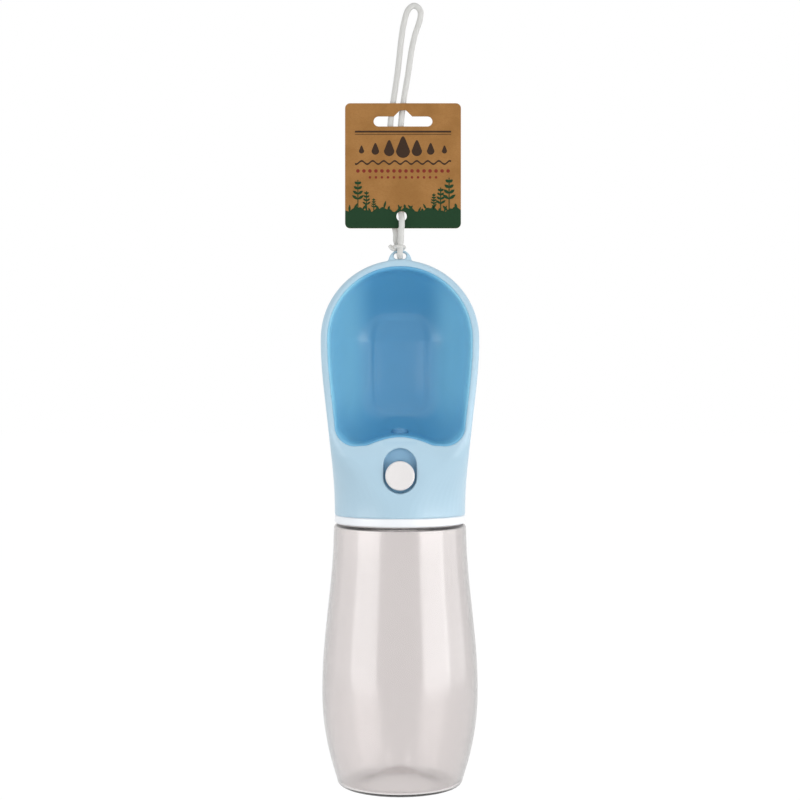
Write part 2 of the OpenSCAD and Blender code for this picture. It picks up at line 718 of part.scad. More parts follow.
// One unbroken wire from the push plate to the valve body
module return_spring() {
    wire_steps = 8;
    wire_sides = 6;
    y0 = push_plate_y + push_plate_t + run_gap + wire_r;
    rise = gland_y - run_gap - wire_r - y0;
    steps = spring_turns * wire_steps;
    echo(spring_self_gap = rise / spring_turns - 2 * wire_r);
    color("silver") translate(head_at + [0, y0, button_z])
        tube([for (i = [0:steps]) let(a = 360 * i / wire_steps)
            [spring_r * cos(a), rise * i / steps, spring_r * sin(a)]],
            wire_r, wire_sides, [0, 1, 0]);
}

module valve_plug() {
    groove = 0.9;
    color("gainsboro") translate(head_at) difference() {
        union() {
            along_y(rear_y + seat_gap)
                cylinder(r = body_r, h = plug_bore_y + plug_end - rear_y);
            along_y(rear_y - plug_in)
                cylinder(r = chamber_r - seat_gap, h = plug_in + 2 * seat_gap);
        }
        along_y(rear_y - plug_in - past)
            cylinder(r = stem_r + guide_gap, h = plug_bore_y - rear_y + plug_in + past);
        along_y(rear_y - 1.4) ring(chamber_r - groove, chamber_r + 1, 1);
    }
}

module plug_o_ring() {
    r = 0.42;
    color("dimgray") translate(head_at) along_y(rear_y - 0.9) o_ring(chamber_r - r - seat_gap, r);
}

module outlet_grommet() {
    tube_r = outlet_r + outlet_wall;
    color("dimgray") translate(head_at + [0, outlet_y, outlet_z + tube_out / 2 - grommet_h])
        ring(tube_r + seat_gap, tube_r + grommet_wall - seat_gap, grommet_h);
}

module lock_slider() {
    color("steelblue") translate(head_at) difference() {
        union() {
            translate([0, hub_y, (slider_low + slider_high) / 2]) rotate([90, 0, 0])
                linear_extrude(slider_t) round_rect(slider_w, slider_high - slider_low, 2);
            along_y(plate_y) cylinder(r = hub_r, h = slider_t + hub_l);
        }
        along_y(plate_y - past) cylinder(r = shank_r + guide_gap, h = slider_t + hub_l + 2 * past);
    }
}

module button() {
    edge = 0.8;
    dish = 0.3;
    r = button_d / 2;
    color("white") translate(head_at) difference() {
        union() {
            along_y(cap_y) rotate_extrude() polygon(concat(
                [[0, dish], [r * 0.55, dish * 0.5], [r - 1.6, 0]],
                bend([r - edge, edge], edge, -90, 0),
                [[r, button_t], [0, button_t]]
            ));
            along_y(cap_back_y - tiny) cylinder(r = shank_r, h = shank_end_y - cap_back_y);
        }
        along_y(clip_y) ring(shank_r - clip_groove, shank_r + 1, clip_t);
    }
}

module button_clip() {
    mouth_w = 2.6;
    color("silver") translate(head_at) along_y(clip_y + 0.05) difference() {
        ring(shank_r - clip_groove + seat_gap, clip_r, clip_t - 0.1);
        translate([-mouth_w / 2, 0, -1]) cube([mouth_w, clip_r + 1, clip_t + 2]);
    }
}

module hang_tag() {
    z = tag_h / 2 - slot_from_top;
    peak_w = 3.6;
    color("peru") translate(tag_at) rotate([90, 0, 0]) linear_extrude(tag_t) difference() {
        round_rect(tag_w, tag_h, tag_corner);
        translate([0, z]) round_rect(slot_w, slot_h, slot_h / 2 - tiny);
        translate([0, z + slot_h / 2 - tiny]) polygon([
            [-2 * peak_w, -1], [2 * peak_w, -1], [peak_w * 1.4, 0], [peak_w / 2, slot_peak],
            [-peak_w / 2, slot_peak], [-peak_w * 1.4, 0],
        ]);
        translate([tag_hole_at[0] - tag_at[0], tag_hole_at[1] - tag_at[2]]) circle(tag_hole_r);
    }
}

module cord() {
    color("white") tube(smooth(cord_route, 2), cord_d / 2, cord_sides, [0, 1, 0]);
}

module cord_knot() {
    wrap = [for (i = [0:wrap_steps - 1]) let(a = 360 * i / wrap_steps)
        wrap_at + [wrap_w * cos(a), wrap_d * sin(a), 0]];
    color("white") union() {
        tube(smooth(knot_route, 2), cord_d / 2, cord_sides, [1, 0, 0]);
        tube(wrap, wrap_r, 6, [0, 0, 1], true);
        tube(smooth(tail_route, 2), wrap_r, 6, [0, 1, 0]);
    }
}

bottle();
bottle_gasket();
inner_cap();
head_shell();
trough_liner();
valve_body();
spout_seal();
valve_seat();
valve_stem();
poppet_washer();
stem_o_ring();
return_spring();
valve_plug();
plug_o_ring();
outlet_grommet();
lock_slider();
button();
button_clip();
hang_tag();
cord();
cord_knot();
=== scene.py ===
"""A dog's travel water bottle: a clear bottle under a scoop-shaped drinking trough.

It hangs by a cord, which also carries a printed card. Lengths are millimetres until a mesh is made.
"""

import json
import math

import bmesh
import bpy
import numpy as np
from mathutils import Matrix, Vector


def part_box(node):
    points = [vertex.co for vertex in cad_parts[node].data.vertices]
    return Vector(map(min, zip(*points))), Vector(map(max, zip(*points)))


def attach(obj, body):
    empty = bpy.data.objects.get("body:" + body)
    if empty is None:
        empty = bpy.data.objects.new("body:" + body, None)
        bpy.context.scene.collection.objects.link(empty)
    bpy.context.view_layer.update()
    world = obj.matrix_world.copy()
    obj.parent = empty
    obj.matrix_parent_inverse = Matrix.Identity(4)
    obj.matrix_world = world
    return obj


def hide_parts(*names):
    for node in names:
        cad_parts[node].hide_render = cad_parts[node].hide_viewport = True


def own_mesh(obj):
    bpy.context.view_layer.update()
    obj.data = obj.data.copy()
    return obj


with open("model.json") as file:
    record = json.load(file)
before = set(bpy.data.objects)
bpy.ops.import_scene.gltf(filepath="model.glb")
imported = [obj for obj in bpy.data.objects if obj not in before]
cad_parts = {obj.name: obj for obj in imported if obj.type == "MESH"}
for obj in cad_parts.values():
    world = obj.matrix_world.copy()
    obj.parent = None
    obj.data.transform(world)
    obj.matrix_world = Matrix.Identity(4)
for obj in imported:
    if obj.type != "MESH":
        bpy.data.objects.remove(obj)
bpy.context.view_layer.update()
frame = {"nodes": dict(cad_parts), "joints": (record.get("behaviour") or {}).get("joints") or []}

MM = 0.001

# ---- driving dimensions, the same as in part.scad where it has them, but for the card's hole ----
# Bottle: height, radii at shoulder, belly and foot, and height of the belly
BOTTLE_H, SHOULDER_R, BELLY_R, FOOT_R, BELLY_Z = 131.6, 33.5, 39.4, 30.8, 47
# Its wall, the rounding of foot and shoulder, and the push-up under the foot
BOTTLE_WALL, FOOT_ROUND, SHOULDER_ROUND, PUNT_R, PUNT_H = 1.6, 3, 2, 23, 7
# Its neck: radius at the thread's root, wall, height
NECK_R, NECK_WALL, NECK_H = 24.6, 2.2, 12
# Collar: its visible band, the gap under it, the room for the threads, and their lead
BAND_H, BAND_GAP, THREAD_ROOM, THREAD_LEAD = 4.2, 0.4, 1.5, 4.2
# Its disc over the bottle's lip: the gap on each side of the gasket, the gasket, the disc
SEAT_GAP, GASKET_T, COLLAR_TOP = 0.05, 1.4, 2
# Head: height, half widths at the foot and the arch, depths at the widest height and at the tip
HEAD_H, HEAD_FOOT_W, HEAD_W, HEAD_DEPTH, TIP_DEPTH = 127.9, 33, 39.3, 52, 6.5
# How far the rim leans back, from which height, and the height where the front has become flat
RIM_LEAN, LEAN_Z, FLAT_Z = 19, 30, 46
# The shell's wall, the rim's rounding and width, the flank behind it, the flat beside a foot corner
SHELL_WALL, RIM_ROUND, RIM_W, FLANK, FOOT_FLAT = 2.2, 3.2, 3.4, 14, 0.6
# Trough: height of its lower edge, height and half width of the rise in it, corner radius
TROUGH_Z, HUMP_H, HUMP_W, TROUGH_CORNER = 35.4, 4.4, 17, 10
# Its liner's wall and clearance, how far it lies behind the rim, and the room behind it
LINER_WALL, LINER_GAP, LINER_SET, BACK_ROOM = 1.6, 0.25, 0.5, 10
# Raised pad: width, length, place as a share of the trough's length, height, width of its slope
PAD_W, PAD_L, PAD_SHARE, PAD_H, PAD_SLOPE = 32.5, 53.5, 0.44, 1.4, 4.2
# Eyelet: outside radius, its hole, thickness, what is over and under the hole, its place in depth
EYELET_R, EYELET_HOLE_W, EYELET_HOLE_H, EYELET_T = 5.8, 6.4, 3.2, 4.4
EYELET_BAR, EYELET_FOOT, EYELET_Y = 1.5, 0.3, -11
# Button: diameter, how far it stands out, thickness of its cap, height, radius of its shank
BUTTON_D, BUTTON_OUT, BUTTON_T, BUTTON_Z, SHANK_R = 14.3, 2, 2.4, 21.1, 2.4
# Its recess: gaps at the ends and the sides, depth, thickness of the floor
RECESS_END_GAP, RECESS_SIDE_GAP, RECESS_DEPTH, RECESS_FLOOR = 1.6, 0.9, 3.6, 1.5
# Its slider: travel, width, reach above the button; the rails it runs in, and their gap
LOCK_TRAVEL, SLIDER_W, SLIDER_UP, RAIL_T, RUN_GAP = 4.5, 18, 9, 2.2, 0.3
# Valve: bore and wall of the outlet tube, wall of its grommet, length of the front chamber
OUTLET_R, OUTLET_WALL, GROMMET_WALL, FRONT_CHAMBER = 2, 1.2, 0.9, 7.5
# Return spring: radius of the wire, mean radius, turns
WIRE_R, SPRING_R, SPRING_TURNS = 0.4, 3.6, 5
CORD_D = 2.8
# Card: width, height, thickness, corners; its hanger slot, the peak in it, and its lower hole
TAG_W, TAG_H, TAG_T, TAG_CORNER = 57.8, 62.4, 0.8, 2.5
SLOT_W, SLOT_H, SLOT_PEAK, SLOT_DOWN, TAG_HOLE_R = 29.4, 5.1, 3.1, 6.5, 2.6

# ---- places, in the row's frame ----
EYE = (-7, -1, -124.1)
EYE_Z = HEAD_H + EYELET_FOOT + EYELET_HOLE_H / 2
HEAD_AT = np.array((EYE[0], EYE[1] - EYELET_Y, EYE[2] - EYE_Z))
TAG_AT = np.array((-5.5, -1.8, -79.1))
TAG_HOLE_AT = (-6.2, -104.3)

# ---- places in the head's own frame, whose zero is HEAD_AT, on the bottle's axis ----
ARCH_Z = HEAD_H - HEAD_W
FRONT_Y = -HEAD_FOOT_W
SHOULDER_Z = -BAND_H - BAND_GAP
RAIL_LOW = SHOULDER_Z + NECK_H + 2 * SEAT_GAP + GASKET_T + COLLAR_TOP + RUN_GAP
RAIL_HIGH = BUTTON_Z + SLIDER_UP + LOCK_TRAVEL + RUN_GAP
PAD_Z = TROUGH_Z + PAD_SHARE * (HEAD_H - TROUGH_Z)
TROUGH_DEPTH = HEAD_DEPTH - BACK_ROOM

# The cord's route, from the knot up the left strand and down the right one
CORD_ROUTE = [
    (-9, 0.3, -114.6), (-9, 0.3, -113.8), (-9, 0.3, -113), (-9.6, 0.2, -109.8),
    (-10.4, 0.1, -105.4), (-11.1, 0, -99.5), (-11.8, 0, -90.5), (-12.3, 0, -79),
    (-12.3, 0, -67), (-11.6, 0, -55.5), (-9.9, 0, -43.5), (-8.4, 0, -33.5),
    (-7.4, 0, -25), (-6.5, 0, -16.5), (-5.4, 0, -9), (-3.8, 0, -2.6),
    (-2.2, 0, 0.2), (0, 0, 1.4), (2.1, 0, 0.4), (3.3, 0, -1.8),
    (3.1, 0, -5), (2, 0, -8.8), (0.3, 0, -14), (-1.4, 0, -22),
    (-3, 0, -33), (-5, 0, -45), (-6.5, 0, -57.5), (-7.2, 0, -71),
    (-7, 0, -84.5), (-6.7, 0.1, -93), (-6.5, 0.2, -98), (-6.4, -0.2, -101),
    (-6.3, -1.2, -103.2), (-6.2, -2.8, -104.9), (-6.1, -4.1, -106.8), (-6.1, -4.4, -109.2),
    (-6.4, -4.1, -111.3), (-6.5, -3.9, -113), (-6.5, -3.9, -113.8), (-6.5, -3.9, -114.6),
]
KNOT_ROUTE = [
    (-6.5, -3.9, -114.6), (-6.5, -3.9, -115.4), (-6.5, -3.9, -116.2), (-6.7, -3.8, -118.7),
    (-6.9, -4.7, -120.9), (-7, -5, -122.9), (-7, -3.6, -124.2), (-7, -1, -124.2),
    (-7, 1.6, -124.2), (-7.2, 3, -122.9), (-7.6, 2.9, -120.9), (-8.3, 1.4, -118.5),
    (-9, 0.3, -116.2), (-9, 0.3, -115.4), (-9, 0.3, -114.6),
]
TAIL_ROUTE = [(-8.6, -3.2, -119.9), (-9.6, -3.8, -120.9), (-10.9, -3.8, -120.6), (-12.2, -3.6, -119)]
# The turn of cord round the two strands: its middle, half width, half depth and cord radius
WRAP_AT, WRAP_W, WRAP_D, WRAP_R = (-7.6, -0.9, -119.7), 2.7, 4.4, 0.9

# ---- camera: level, at the photograph's distance ----
VIEW_Z = -196               # row height at the photograph's middle row
VIEW_H = 405.6              # height of the frame in the plane of the bottle's axis
CAMERA_AWAY = 800
SENSOR = 36


def make_camera():
    data = bpy.data.cameras.new("camera")
    data.sensor_width = SENSOR
    data.lens = SENSOR * CAMERA_AWAY / VIEW_H
    data.clip_end = 50
    cam = bpy.data.objects.new("camera", data)
    cam.location = Vector((HEAD_AT[0], HEAD_AT[1] - CAMERA_AWAY, VIEW_Z)) * MM
    cam.rotation_euler = (math.radians(90), 0, 0)
    bpy.context.collection.objects.link(cam)
    bpy.context.scene.camera = cam


# ---- mesh helpers ----
def new_object(name, verts, faces, smooth=True):
    mesh = bpy.data.meshes.new(name)
    mesh.from_pydata([tuple(v) for v in np.asarray(verts, float) * MM], [], faces)
    mesh.update()
    ob = bpy.data.objects.new(name, mesh)
    bpy.context.collection.objects.link(ob)
    if smooth:
        mesh.shade_smooth()
    return ob


def new_solid(name, verts, faces, smooth=True):
    "A closed mesh whose faces all look outwards"
    ob = new_object(name, verts, faces, smooth)
    bm = bmesh.new()
    bm.from_mesh(ob.data)
    bmesh.ops.recalc_face_normals(bm, faces=bm.faces)
    bm.to_mesh(ob.data)
    bm.free()
    return ob


def bake(ob):
    "Turns an object's modifiers into its mesh"
    bpy.context.view_layer.update()
    graph = bpy.context.evaluated_depsgraph_get()
    mesh = bpy.data.meshes.new_from_object(ob.evaluated_get(graph))
    ob.modifiers.clear()
    old = ob.data
    ob.data = mesh
    bpy.data.meshes.remove(old)
    ob.data.name = ob.name


def combine(ob, other, how):
    "Joins or cuts a solid with another, which is used up"
    mod = ob.modifiers.new("combine", "BOOLEAN")
    mod.operation = how
    mod.solver = "MANIFOLD"
    mod.object = other
    bake(ob)
    bpy.data.objects.remove(other)


def soften(ob):
    "Remeshes a closed solid in small voxels and smooths it, which rounds its edges a little"
    voxel, turns = 0.42, 6
    mod = ob.modifiers.new("remesh", "REMESH")
    mod.mode = "VOXEL"
    mod.voxel_size = voxel * MM
    mod.use_smooth_shade = True
    mod = ob.modifiers.new("smooth", "SMOOTH")
    mod.factor = 0.5
    mod.iterations = turns
    bake(ob)
    ob.data.shade_smooth()


def grid_faces(rows, cols, start=0, flip=False):
    "Quads between closed rings of verts that follow each other"
    faces = []
    for j in range(rows - 1):
        for i in range(cols):
            k = (i + 1) % cols
            a, b = start + j * cols + i, start + j * cols + k
            c, d = start + (j + 1) * cols + k, start + (j + 1) * cols + i
            faces.append((a, d, c, b) if flip else (a, b, c, d))
    return faces


def cup(name, outer, inner, at):
    "A closed skin between two stacks of rings that meet at their first ring"
    n, m, mi = len(outer[0]), len(outer), len(inner)
    verts = [p for ring in outer for p in ring] + [p for ring in inner for p in ring]
    verts += [np.mean(outer[-1], axis=0), np.mean(inner[-1], axis=0)]
    faces = grid_faces(m, n) + grid_faces(mi, n, n * m, flip=True)
    outer_top, inner_top = (m - 1) * n, n * m + (mi - 1) * n
    for i in range(n):
        k = (i + 1) % n
        faces.append((i, n * m + i, n * m + k, k))
        faces.append((outer_top + i, outer_top + k, len(verts) - 2))
        faces.append((inner_top + k, inner_top + i, len(verts) - 1))
    return new_solid(name, np.array(verts) + at, faces)


def prism(name, outline, y0, y1, at):
    "A prism along Y over an outline of [x, z]"
    n = len(outline)
    verts = [(x, y0, z) for x, z in outline] + [(x, y1, z) for x, z in outline]
    faces = [tuple(range(n)), tuple(range(2 * n - 1, n - 1, -1))]
    faces += [(i, n + i, n + (i + 1) % n, (i + 1) % n) for i in range(n)]
    return new_solid(name, np.array(verts) + at, faces)


def lathe(name, profile, at, steps, axis="z"):
    "Revolves a closed profile of (radius, height); points with radius 0 become one pole"
    turn = [2 * math.pi * i / steps for i in range(steps)]
    verts, rows = [], []
    for r, h in profile:
        if r < 1e-6:
            rows.append([len(verts)])
            verts.append((0, 0, h))
        else:
            rows.append(range(len(verts), len(verts) + steps))
            verts += [(r * math.cos(a), r * math.sin(a), h) for a in turn]
    faces = []
    for a, b in zip(rows, rows[1:] + rows[:1]):
        if len(a) == 1 and len(b) == 1:
            continue
        for i in range(steps):
            k = (i + 1) % steps
            if len(a) == 1:
                faces.append((a[0], b[k], b[i]))
            elif len(b) == 1:
                faces.append((a[i], a[k], b[0]))
            else:
                faces.append((a[i], a[k], b[k], b[i]))
    verts = np.array(verts)
    if axis == "y":
        verts = np.stack((verts[:, 0], verts[:, 2], -verts[:, 1]), axis=1)
    return new_solid(name, verts + np.asarray(at, float), faces)


# ---- outlines, as lists of points in a plane ----
def arc(cx, cz, r, start, end, steps=8):
    "Part of a circle, between two angles in degrees"
    turn = [math.radians(start + (end - start) * i / steps) for i in range(steps + 1)]
    return [(cx + r * math.cos(a), cz + r * math.sin(a)) for a in turn]


def circle(cx, cz, r, steps):
    return arc(cx, cz, r, 0, 360, steps)[:-1]


def rectangle(x0, z0, x1, z1):
    return [(x0, z0), (x1, z0), (x1, z1), (x0, z1)]


def upright_slot(r, z0, z1):
    "A slot with round ends, from z0 up to z1"
    return arc(0, z1 - r, r, 0, 180, 32) + arc(0, z0 + r, r, 180, 360, 32)


# ---- the head's form, in the head's own frame ----
def ease(t):
    return (1 - math.cos(math.pi * min(max(t, 0), 1))) / 2


def arch_cos(z):
    return 1 if z <= ARCH_Z else math.sqrt(max(0, 1 - ((z - ARCH_Z) / HEAD_W) ** 2))


def half_w(z):
    widen = 1.3                 # above 1, the sides widen later
    if z <= ARCH_Z:
        return HEAD_FOOT_W + (HEAD_W - HEAD_FOOT_W) * ease((max(z, 0) / ARCH_Z) ** widen)
    return HEAD_W * arch_cos(z)


def rim_y(z):
    return FRONT_Y + RIM_LEAN * max(0, z - LEAN_Z) / (HEAD_H - LEAN_Z)


ARCH_BACK = rim_y(ARCH_Z) + HEAD_DEPTH


def back_y(z):
    if z <= ARCH_Z:
        return HEAD_FOOT_W + (ARCH_BACK - HEAD_FOOT_W) * ease(z / ARCH_Z)
    return ARCH_BACK * arch_cos(z) + (rim_y(z) + TIP_DEPTH) * (1 - arch_cos(z))


def front_part(z):
    "Depth of the part of a section that lies before its round back"
    part = HEAD_FOOT_W + (FLANK - HEAD_FOOT_W) * ease(z / FLAT_Z)
    return min(part, (back_y(z) - rim_y(z)) * 0.5)


def corner_room(z):
    "Share of the half width that the front corners may take: nearly all at the round foot"
    return 0.98 if z <= ARCH_Z else 0.8


def corner(z):
    "Radius of a section's front corners"
    foot_corner = HEAD_FOOT_W - FOOT_FLAT
    r = foot_corner + (RIM_ROUND - foot_corner) * ease(z / FLAT_Z)
    return min(r, half_w(z) * corner_room(z), front_part(z) - FOOT_FLAT)


def section(z, wall):
    "A level ring of the shell's skin, moved in by wall"
    corner_steps, back_steps, least_corner = 14, 96, 0.4
    a = half_w(z) - wall
    yf, yb = rim_y(z) + wall, back_y(z) - wall
    yc = rim_y(z) + front_part(z)
    c = max(min(corner(z) - wall, a * corner_room(z)), least_corner)
    turn = [math.pi / 2 * i / corner_steps for i in range(corner_steps + 1)]
    points = [(a - c + c * math.sin(t), yf + c - c * math.cos(t), z) for t in turn]
    for i in range(back_steps + 1):
        t = math.pi * i / back_steps
        points.append((a * math.cos(t), yc + (yb - yc) * math.sin(t), z))
    return points + [(c - a - c * math.cos(t), yf + c - c * math.sin(t), z) for t in turn]


def levels(top):
    "Heights of the sections, up to just under the arch's top, which is top above the arch's middle"
    low_steps, arch_steps, arch_end = 96, 48, 88.5
    low = [ARCH_Z * i / low_steps for i in range(low_steps + 1)]
    turn = [math.radians(arch_end * i / arch_steps) for i in range(1, arch_steps + 1)]
    return low + [ARCH_Z + top * math.sin(t) for t in turn]


def mouth(inset, r=TROUGH_CORNER, rise=HUMP_H):
    "Outline of the trough's mouth in the front view, moved in by inset"
    corner_steps, side_steps, arch_steps, hump_steps = 18, 40, 110, 40
    hump_room = 0.5             # flat left between the rise and a corner
    z0 = TROUGH_Z + inset
    z1 = z0 + r

    def w(z):
        return half_w(z) - RIM_W - inset

    flat_x = w(z1) - r
    rise_w = min(HUMP_W, flat_x - hump_room)
    turn = [math.pi / 2 * i / corner_steps for i in range(corner_steps + 1)]
    side_z = [z1 + (ARCH_Z - z1) * i / side_steps for i in range(1, side_steps + 1)]
    points = [(flat_x + r * math.sin(t), z1 - r * math.cos(t)) for t in turn]
    points += [(w(z), z) for z in side_z]
    points += arc(0, ARCH_Z, HEAD_W - RIM_W - inset, 0, 180, arch_steps)[1:-1]
    points += [(-w(z), z) for z in reversed(side_z)]
    points += [(-flat_x - r * math.cos(t), z1 - r * math.sin(t)) for t in turn]
    for i in range(1, hump_steps):
        u = 2 * i / hump_steps - 1
        points.append((rise_w * u, z0 + rise * math.cos(math.pi / 2 * u)))
    return points


# ---- trough liner: rings of the mouth that shrink as the bowl gets deeper ----
BOWL_POWER, BOWL_END, CORNER_GROW = 3, 88, 12
LINER_LAP = -0.4            # the visible liner reaches into the shell, so no gap shows between them
LINED = LINER_GAP + LINER_WALL


def bowl_k(t):
    "Share of the mouth's size at a share t of the depth; it also turns the size into the depth"
    return (1 - t ** BOWL_POWER) ** (1 / BOWL_POWER)


def bowl_mouth(inset, t):
    return mouth(inset, TROUGH_CORNER + CORNER_GROW * t, HUMP_H * (1 - t))


def bowl_y(z, deep, t):
    return rim_y(z) + LINER_SET + deep * t * min(1, (back_y(z) - rim_y(z)) / HEAD_DEPTH)


def bowl_ring(inset, deep, t):
    ring = []
    for x, z in bowl_mouth(inset, t):
        z = PAD_Z + (z - PAD_Z) * bowl_k(t)
        ring.append((x * bowl_k(t), bowl_y(z, deep, t), z))
    return ring


def pad_ring(floor, inset, scale, lift):
    "A ring of the raised pad, a square with bulging sides, moved in by inset and then scaled"
    power = 5
    ring = []
    for x, z in floor:
        far = math.hypot(x, z)
        across = abs(x) / far / (PAD_W / 2 - inset)
        along = abs(z) / far / (PAD_L / 2 - inset)
        k = scale / (across ** power + along ** power) ** (1 / power) / far
        ring.append((x * k, bowl_y(PAD_Z + z * k, TROUGH_DEPTH, bowl_k(k)) - lift, PAD_Z + z * k))
    return ring


def rings_to_pad(last, last_t, edge, floor):
    "Rings along the bowl, from the last one made to the pad's edge"
    steps = 12
    rings = []
    for i in range(1, steps):
        f = i / steps
        ring = []
        for p, q, (fx, fz) in zip(last, edge, floor):
            x, z = p[0] + (q[0] - p[0]) * f, p[2] + (q[2] - p[2]) * f
            k0 = math.hypot(p[0], p[2] - PAD_Z) / math.hypot(fx, fz)
            k1 = math.hypot(q[0], q[2] - PAD_Z) / math.hypot(fx, fz)
            k = k0 + (k1 - k0) * f
            t = bowl_k(min(k, 1)) + (last_t - bowl_k(min(k0, 1))) * (1 - f)
            ring.append((x, bowl_y(z, TROUGH_DEPTH, t), z))
        rings.append(ring)
    return rings


def make_liner():
    rings, inner_end, slope_steps = 44, math.radians(50), 8
    lip, lip_t = 0.5, 0.12          # the edge's thickness, and where the wall has its own
    outer = []
    inner = []
    for i in range(rings + 1):
        outer_t = math.sin(math.radians(BOWL_END * i / rings))
        outer.append(bowl_ring(LINER_LAP, TROUGH_DEPTH + LINER_WALL, outer_t))
        t = math.sin(inner_end * i / rings)
        thin = (1 - min(t / lip_t, 1)) ** 2
        inner.append(bowl_ring(LINED - (LINER_WALL - lip) * thin, TROUGH_DEPTH, t))
    floor = [(x, z - PAD_Z) for x, z in bowl_mouth(LINED, 1)]
    edge = pad_ring(floor, 0, 1, 0)
    inner += rings_to_pad(inner[-1], math.sin(inner_end), edge, floor) + [edge]
    for i in range(1, slope_steps + 1):
        f = i / slope_steps
        inner.append(pad_ring(floor, PAD_SLOPE * f, 1, PAD_H * ease(f)))
    for scale in (0.94, 0.85, 0.7, 0.55, 0.4, 0.25, 0.12, 0.05):
        inner.append(pad_ring(floor, PAD_SLOPE, scale, PAD_H))
    ob = cup("trough_liner_skin", outer, inner, HEAD_AT)

    # The grommet's hole goes through the trough's foot, between these heights
    low, high, r = 20, 50, OUTLET_R + OUTLET_WALL + GROMMET_WALL
    hole_at = HEAD_AT + (0, -FRONT_CHAMBER / 2, 0)
    combine(ob, lathe("hole", [(0, low), (r, low), (r, high), (0, high)], hole_at, 64), "DIFFERENCE")
    soften(ob)
    return ob


# ---- head shell ----
def make_eyelet():
    over_mouth = 0.5                # it starts this far above the mouth's top
    middle = EYE_Z + EYELET_HOLE_H / 2 + EYELET_BAR - EYELET_R
    start = math.degrees(math.asin((HEAD_H - RIM_W + over_mouth - middle) / EYELET_R))
    outline = arc(0, middle, EYELET_R, start, 180 - start, 64)
    return prism("eyelet", outline, EYELET_Y - EYELET_T / 2, EYELET_Y + EYELET_T / 2, HEAD_AT)


def make_shell():
    outer = [section(z, 0) for z in levels(HEAD_W)]
    inner = [section(z, SHELL_WALL) for z in levels(HEAD_W - SHELL_WALL)]
    ob = cup("head_shell_skin", outer, inner, HEAD_AT)
    combine(ob, make_eyelet(), "UNION")

    # The block behind the front, which the recess is cut into, starts within the shell's wall
    recess_y = FRONT_Y + RECESS_DEPTH
    floor_y = recess_y + RECESS_FLOOR
    block_y = FRONT_Y + 0.9 * SHELL_WALL
    block_w = SLIDER_W / 2 + RUN_GAP + RAIL_T
    block = rectangle(-block_w, RAIL_LOW, block_w, RAIL_HIGH)
    combine(ob, prism("block", block, block_y, floor_y, HEAD_AT), "UNION")

    # Cuts reach past the faces that they open
    mouth_front, recess_front, slot_front, slot_back = 10, 5, 1, 2
    eye_r = EYELET_HOLE_H / 2
    eye_x = EYELET_HOLE_W / 2 - eye_r
    eye = arc(eye_x, EYE_Z, eye_r, -90, 90, 24) + arc(-eye_x, EYE_Z, eye_r, 90, 270, 24)
    recess_r = BUTTON_D / 2 + RECESS_SIDE_GAP
    recess_low = BUTTON_Z - BUTTON_D / 2 - RECESS_END_GAP
    recess_high = BUTTON_Z + LOCK_TRAVEL + BUTTON_D / 2 + RECESS_END_GAP
    shank_play = 0.2
    slot_r = SHANK_R + shank_play
    cuts = (
        ("opening", mouth(0), FRONT_Y - mouth_front, rim_y(HEAD_H) + 2 * SHELL_WALL),
        ("recess", upright_slot(recess_r, recess_low, recess_high), FRONT_Y - recess_front, recess_y),
        ("slot", upright_slot(slot_r, BUTTON_Z - slot_r, BUTTON_Z + LOCK_TRAVEL + slot_r),
         recess_y - slot_front, floor_y + slot_back),
        ("hole", eye, EYELET_Y - EYELET_T, EYELET_Y + EYELET_T),
    )
    for name, outline, y0, y1 in cuts:
        combine(ob, prism(name, outline, y0, y1, HEAD_AT), "DIFFERENCE")
    soften(ob)
    return ob


# ---- bottle ----
def bottle_r(h):
    "Outside radius at a height above the foot"
    if h < BELLY_Z:
        return BELLY_R - (BELLY_R - FOOT_R) * ((BELLY_Z - h) / BELLY_Z) ** 2
    t = (h - BELLY_Z) / (BOTTLE_H - BELLY_Z)
    return SHOULDER_R + (BELLY_R - SHOULDER_R) * (1 + math.cos(math.pi * t)) / 2


def make_bottle():
    side_steps, punt_steps = 70, 24
    neck_round, lip_round = 0.8, 0.5
    lip, top = BOTTLE_H + NECK_H, BOTTLE_H - SHOULDER_ROUND
    foot_mid, top_mid = bottle_r(FOOT_ROUND) - FOOT_ROUND, bottle_r(top) - SHOULDER_ROUND
    past_round = 1                  # the sides start this far past the roundings' middles
    side_low, side_high = FOOT_ROUND + past_round, top - past_round

    def side(wall):
        heights = [side_low + (side_high - side_low) * i / side_steps for i in range(side_steps + 1)]
        return [(bottle_r(h) - wall, h) for h in heights]

    def punt(lift):
        shares = [i / punt_steps for i in range(punt_steps + 1)]
        return [(PUNT_R * f, lift + PUNT_H * (1 + math.cos(math.pi * f)) / 2) for f in shares]

    outside = punt(0) + arc(foot_mid, FOOT_ROUND, FOOT_ROUND, -90, 0, 12) + side(0)
    outside += arc(top_mid, top, SHOULDER_ROUND, 0, 90, 10)
    outside += arc(NECK_R + neck_round, BOTTLE_H + neck_round, neck_round, 270, 180, 5)
    outside += arc(NECK_R - lip_round, lip - lip_round, lip_round, 0, 90, 4)
    neck_in, under_neck = NECK_R - NECK_WALL, BOTTLE_H - BOTTLE_WALL
    inside = punt(BOTTLE_WALL) + arc(foot_mid, FOOT_ROUND, FOOT_ROUND - BOTTLE_WALL, -90, 0, 8)
    inside += side(BOTTLE_WALL) + arc(top_mid, top, SHOULDER_ROUND - BOTTLE_WALL, 0, 90, 4)
    inside += arc(neck_in + neck_round, under_neck + neck_round, neck_round, 270, 180, 5)
    inside += arc(neck_in + lip_round, lip - lip_round, lip_round, 180, 90, 4)
    at = HEAD_AT + (0, 0, SHOULDER_Z - BOTTLE_H)
    return lathe("bottle_skin", outside + inside[::-1], at, 192)


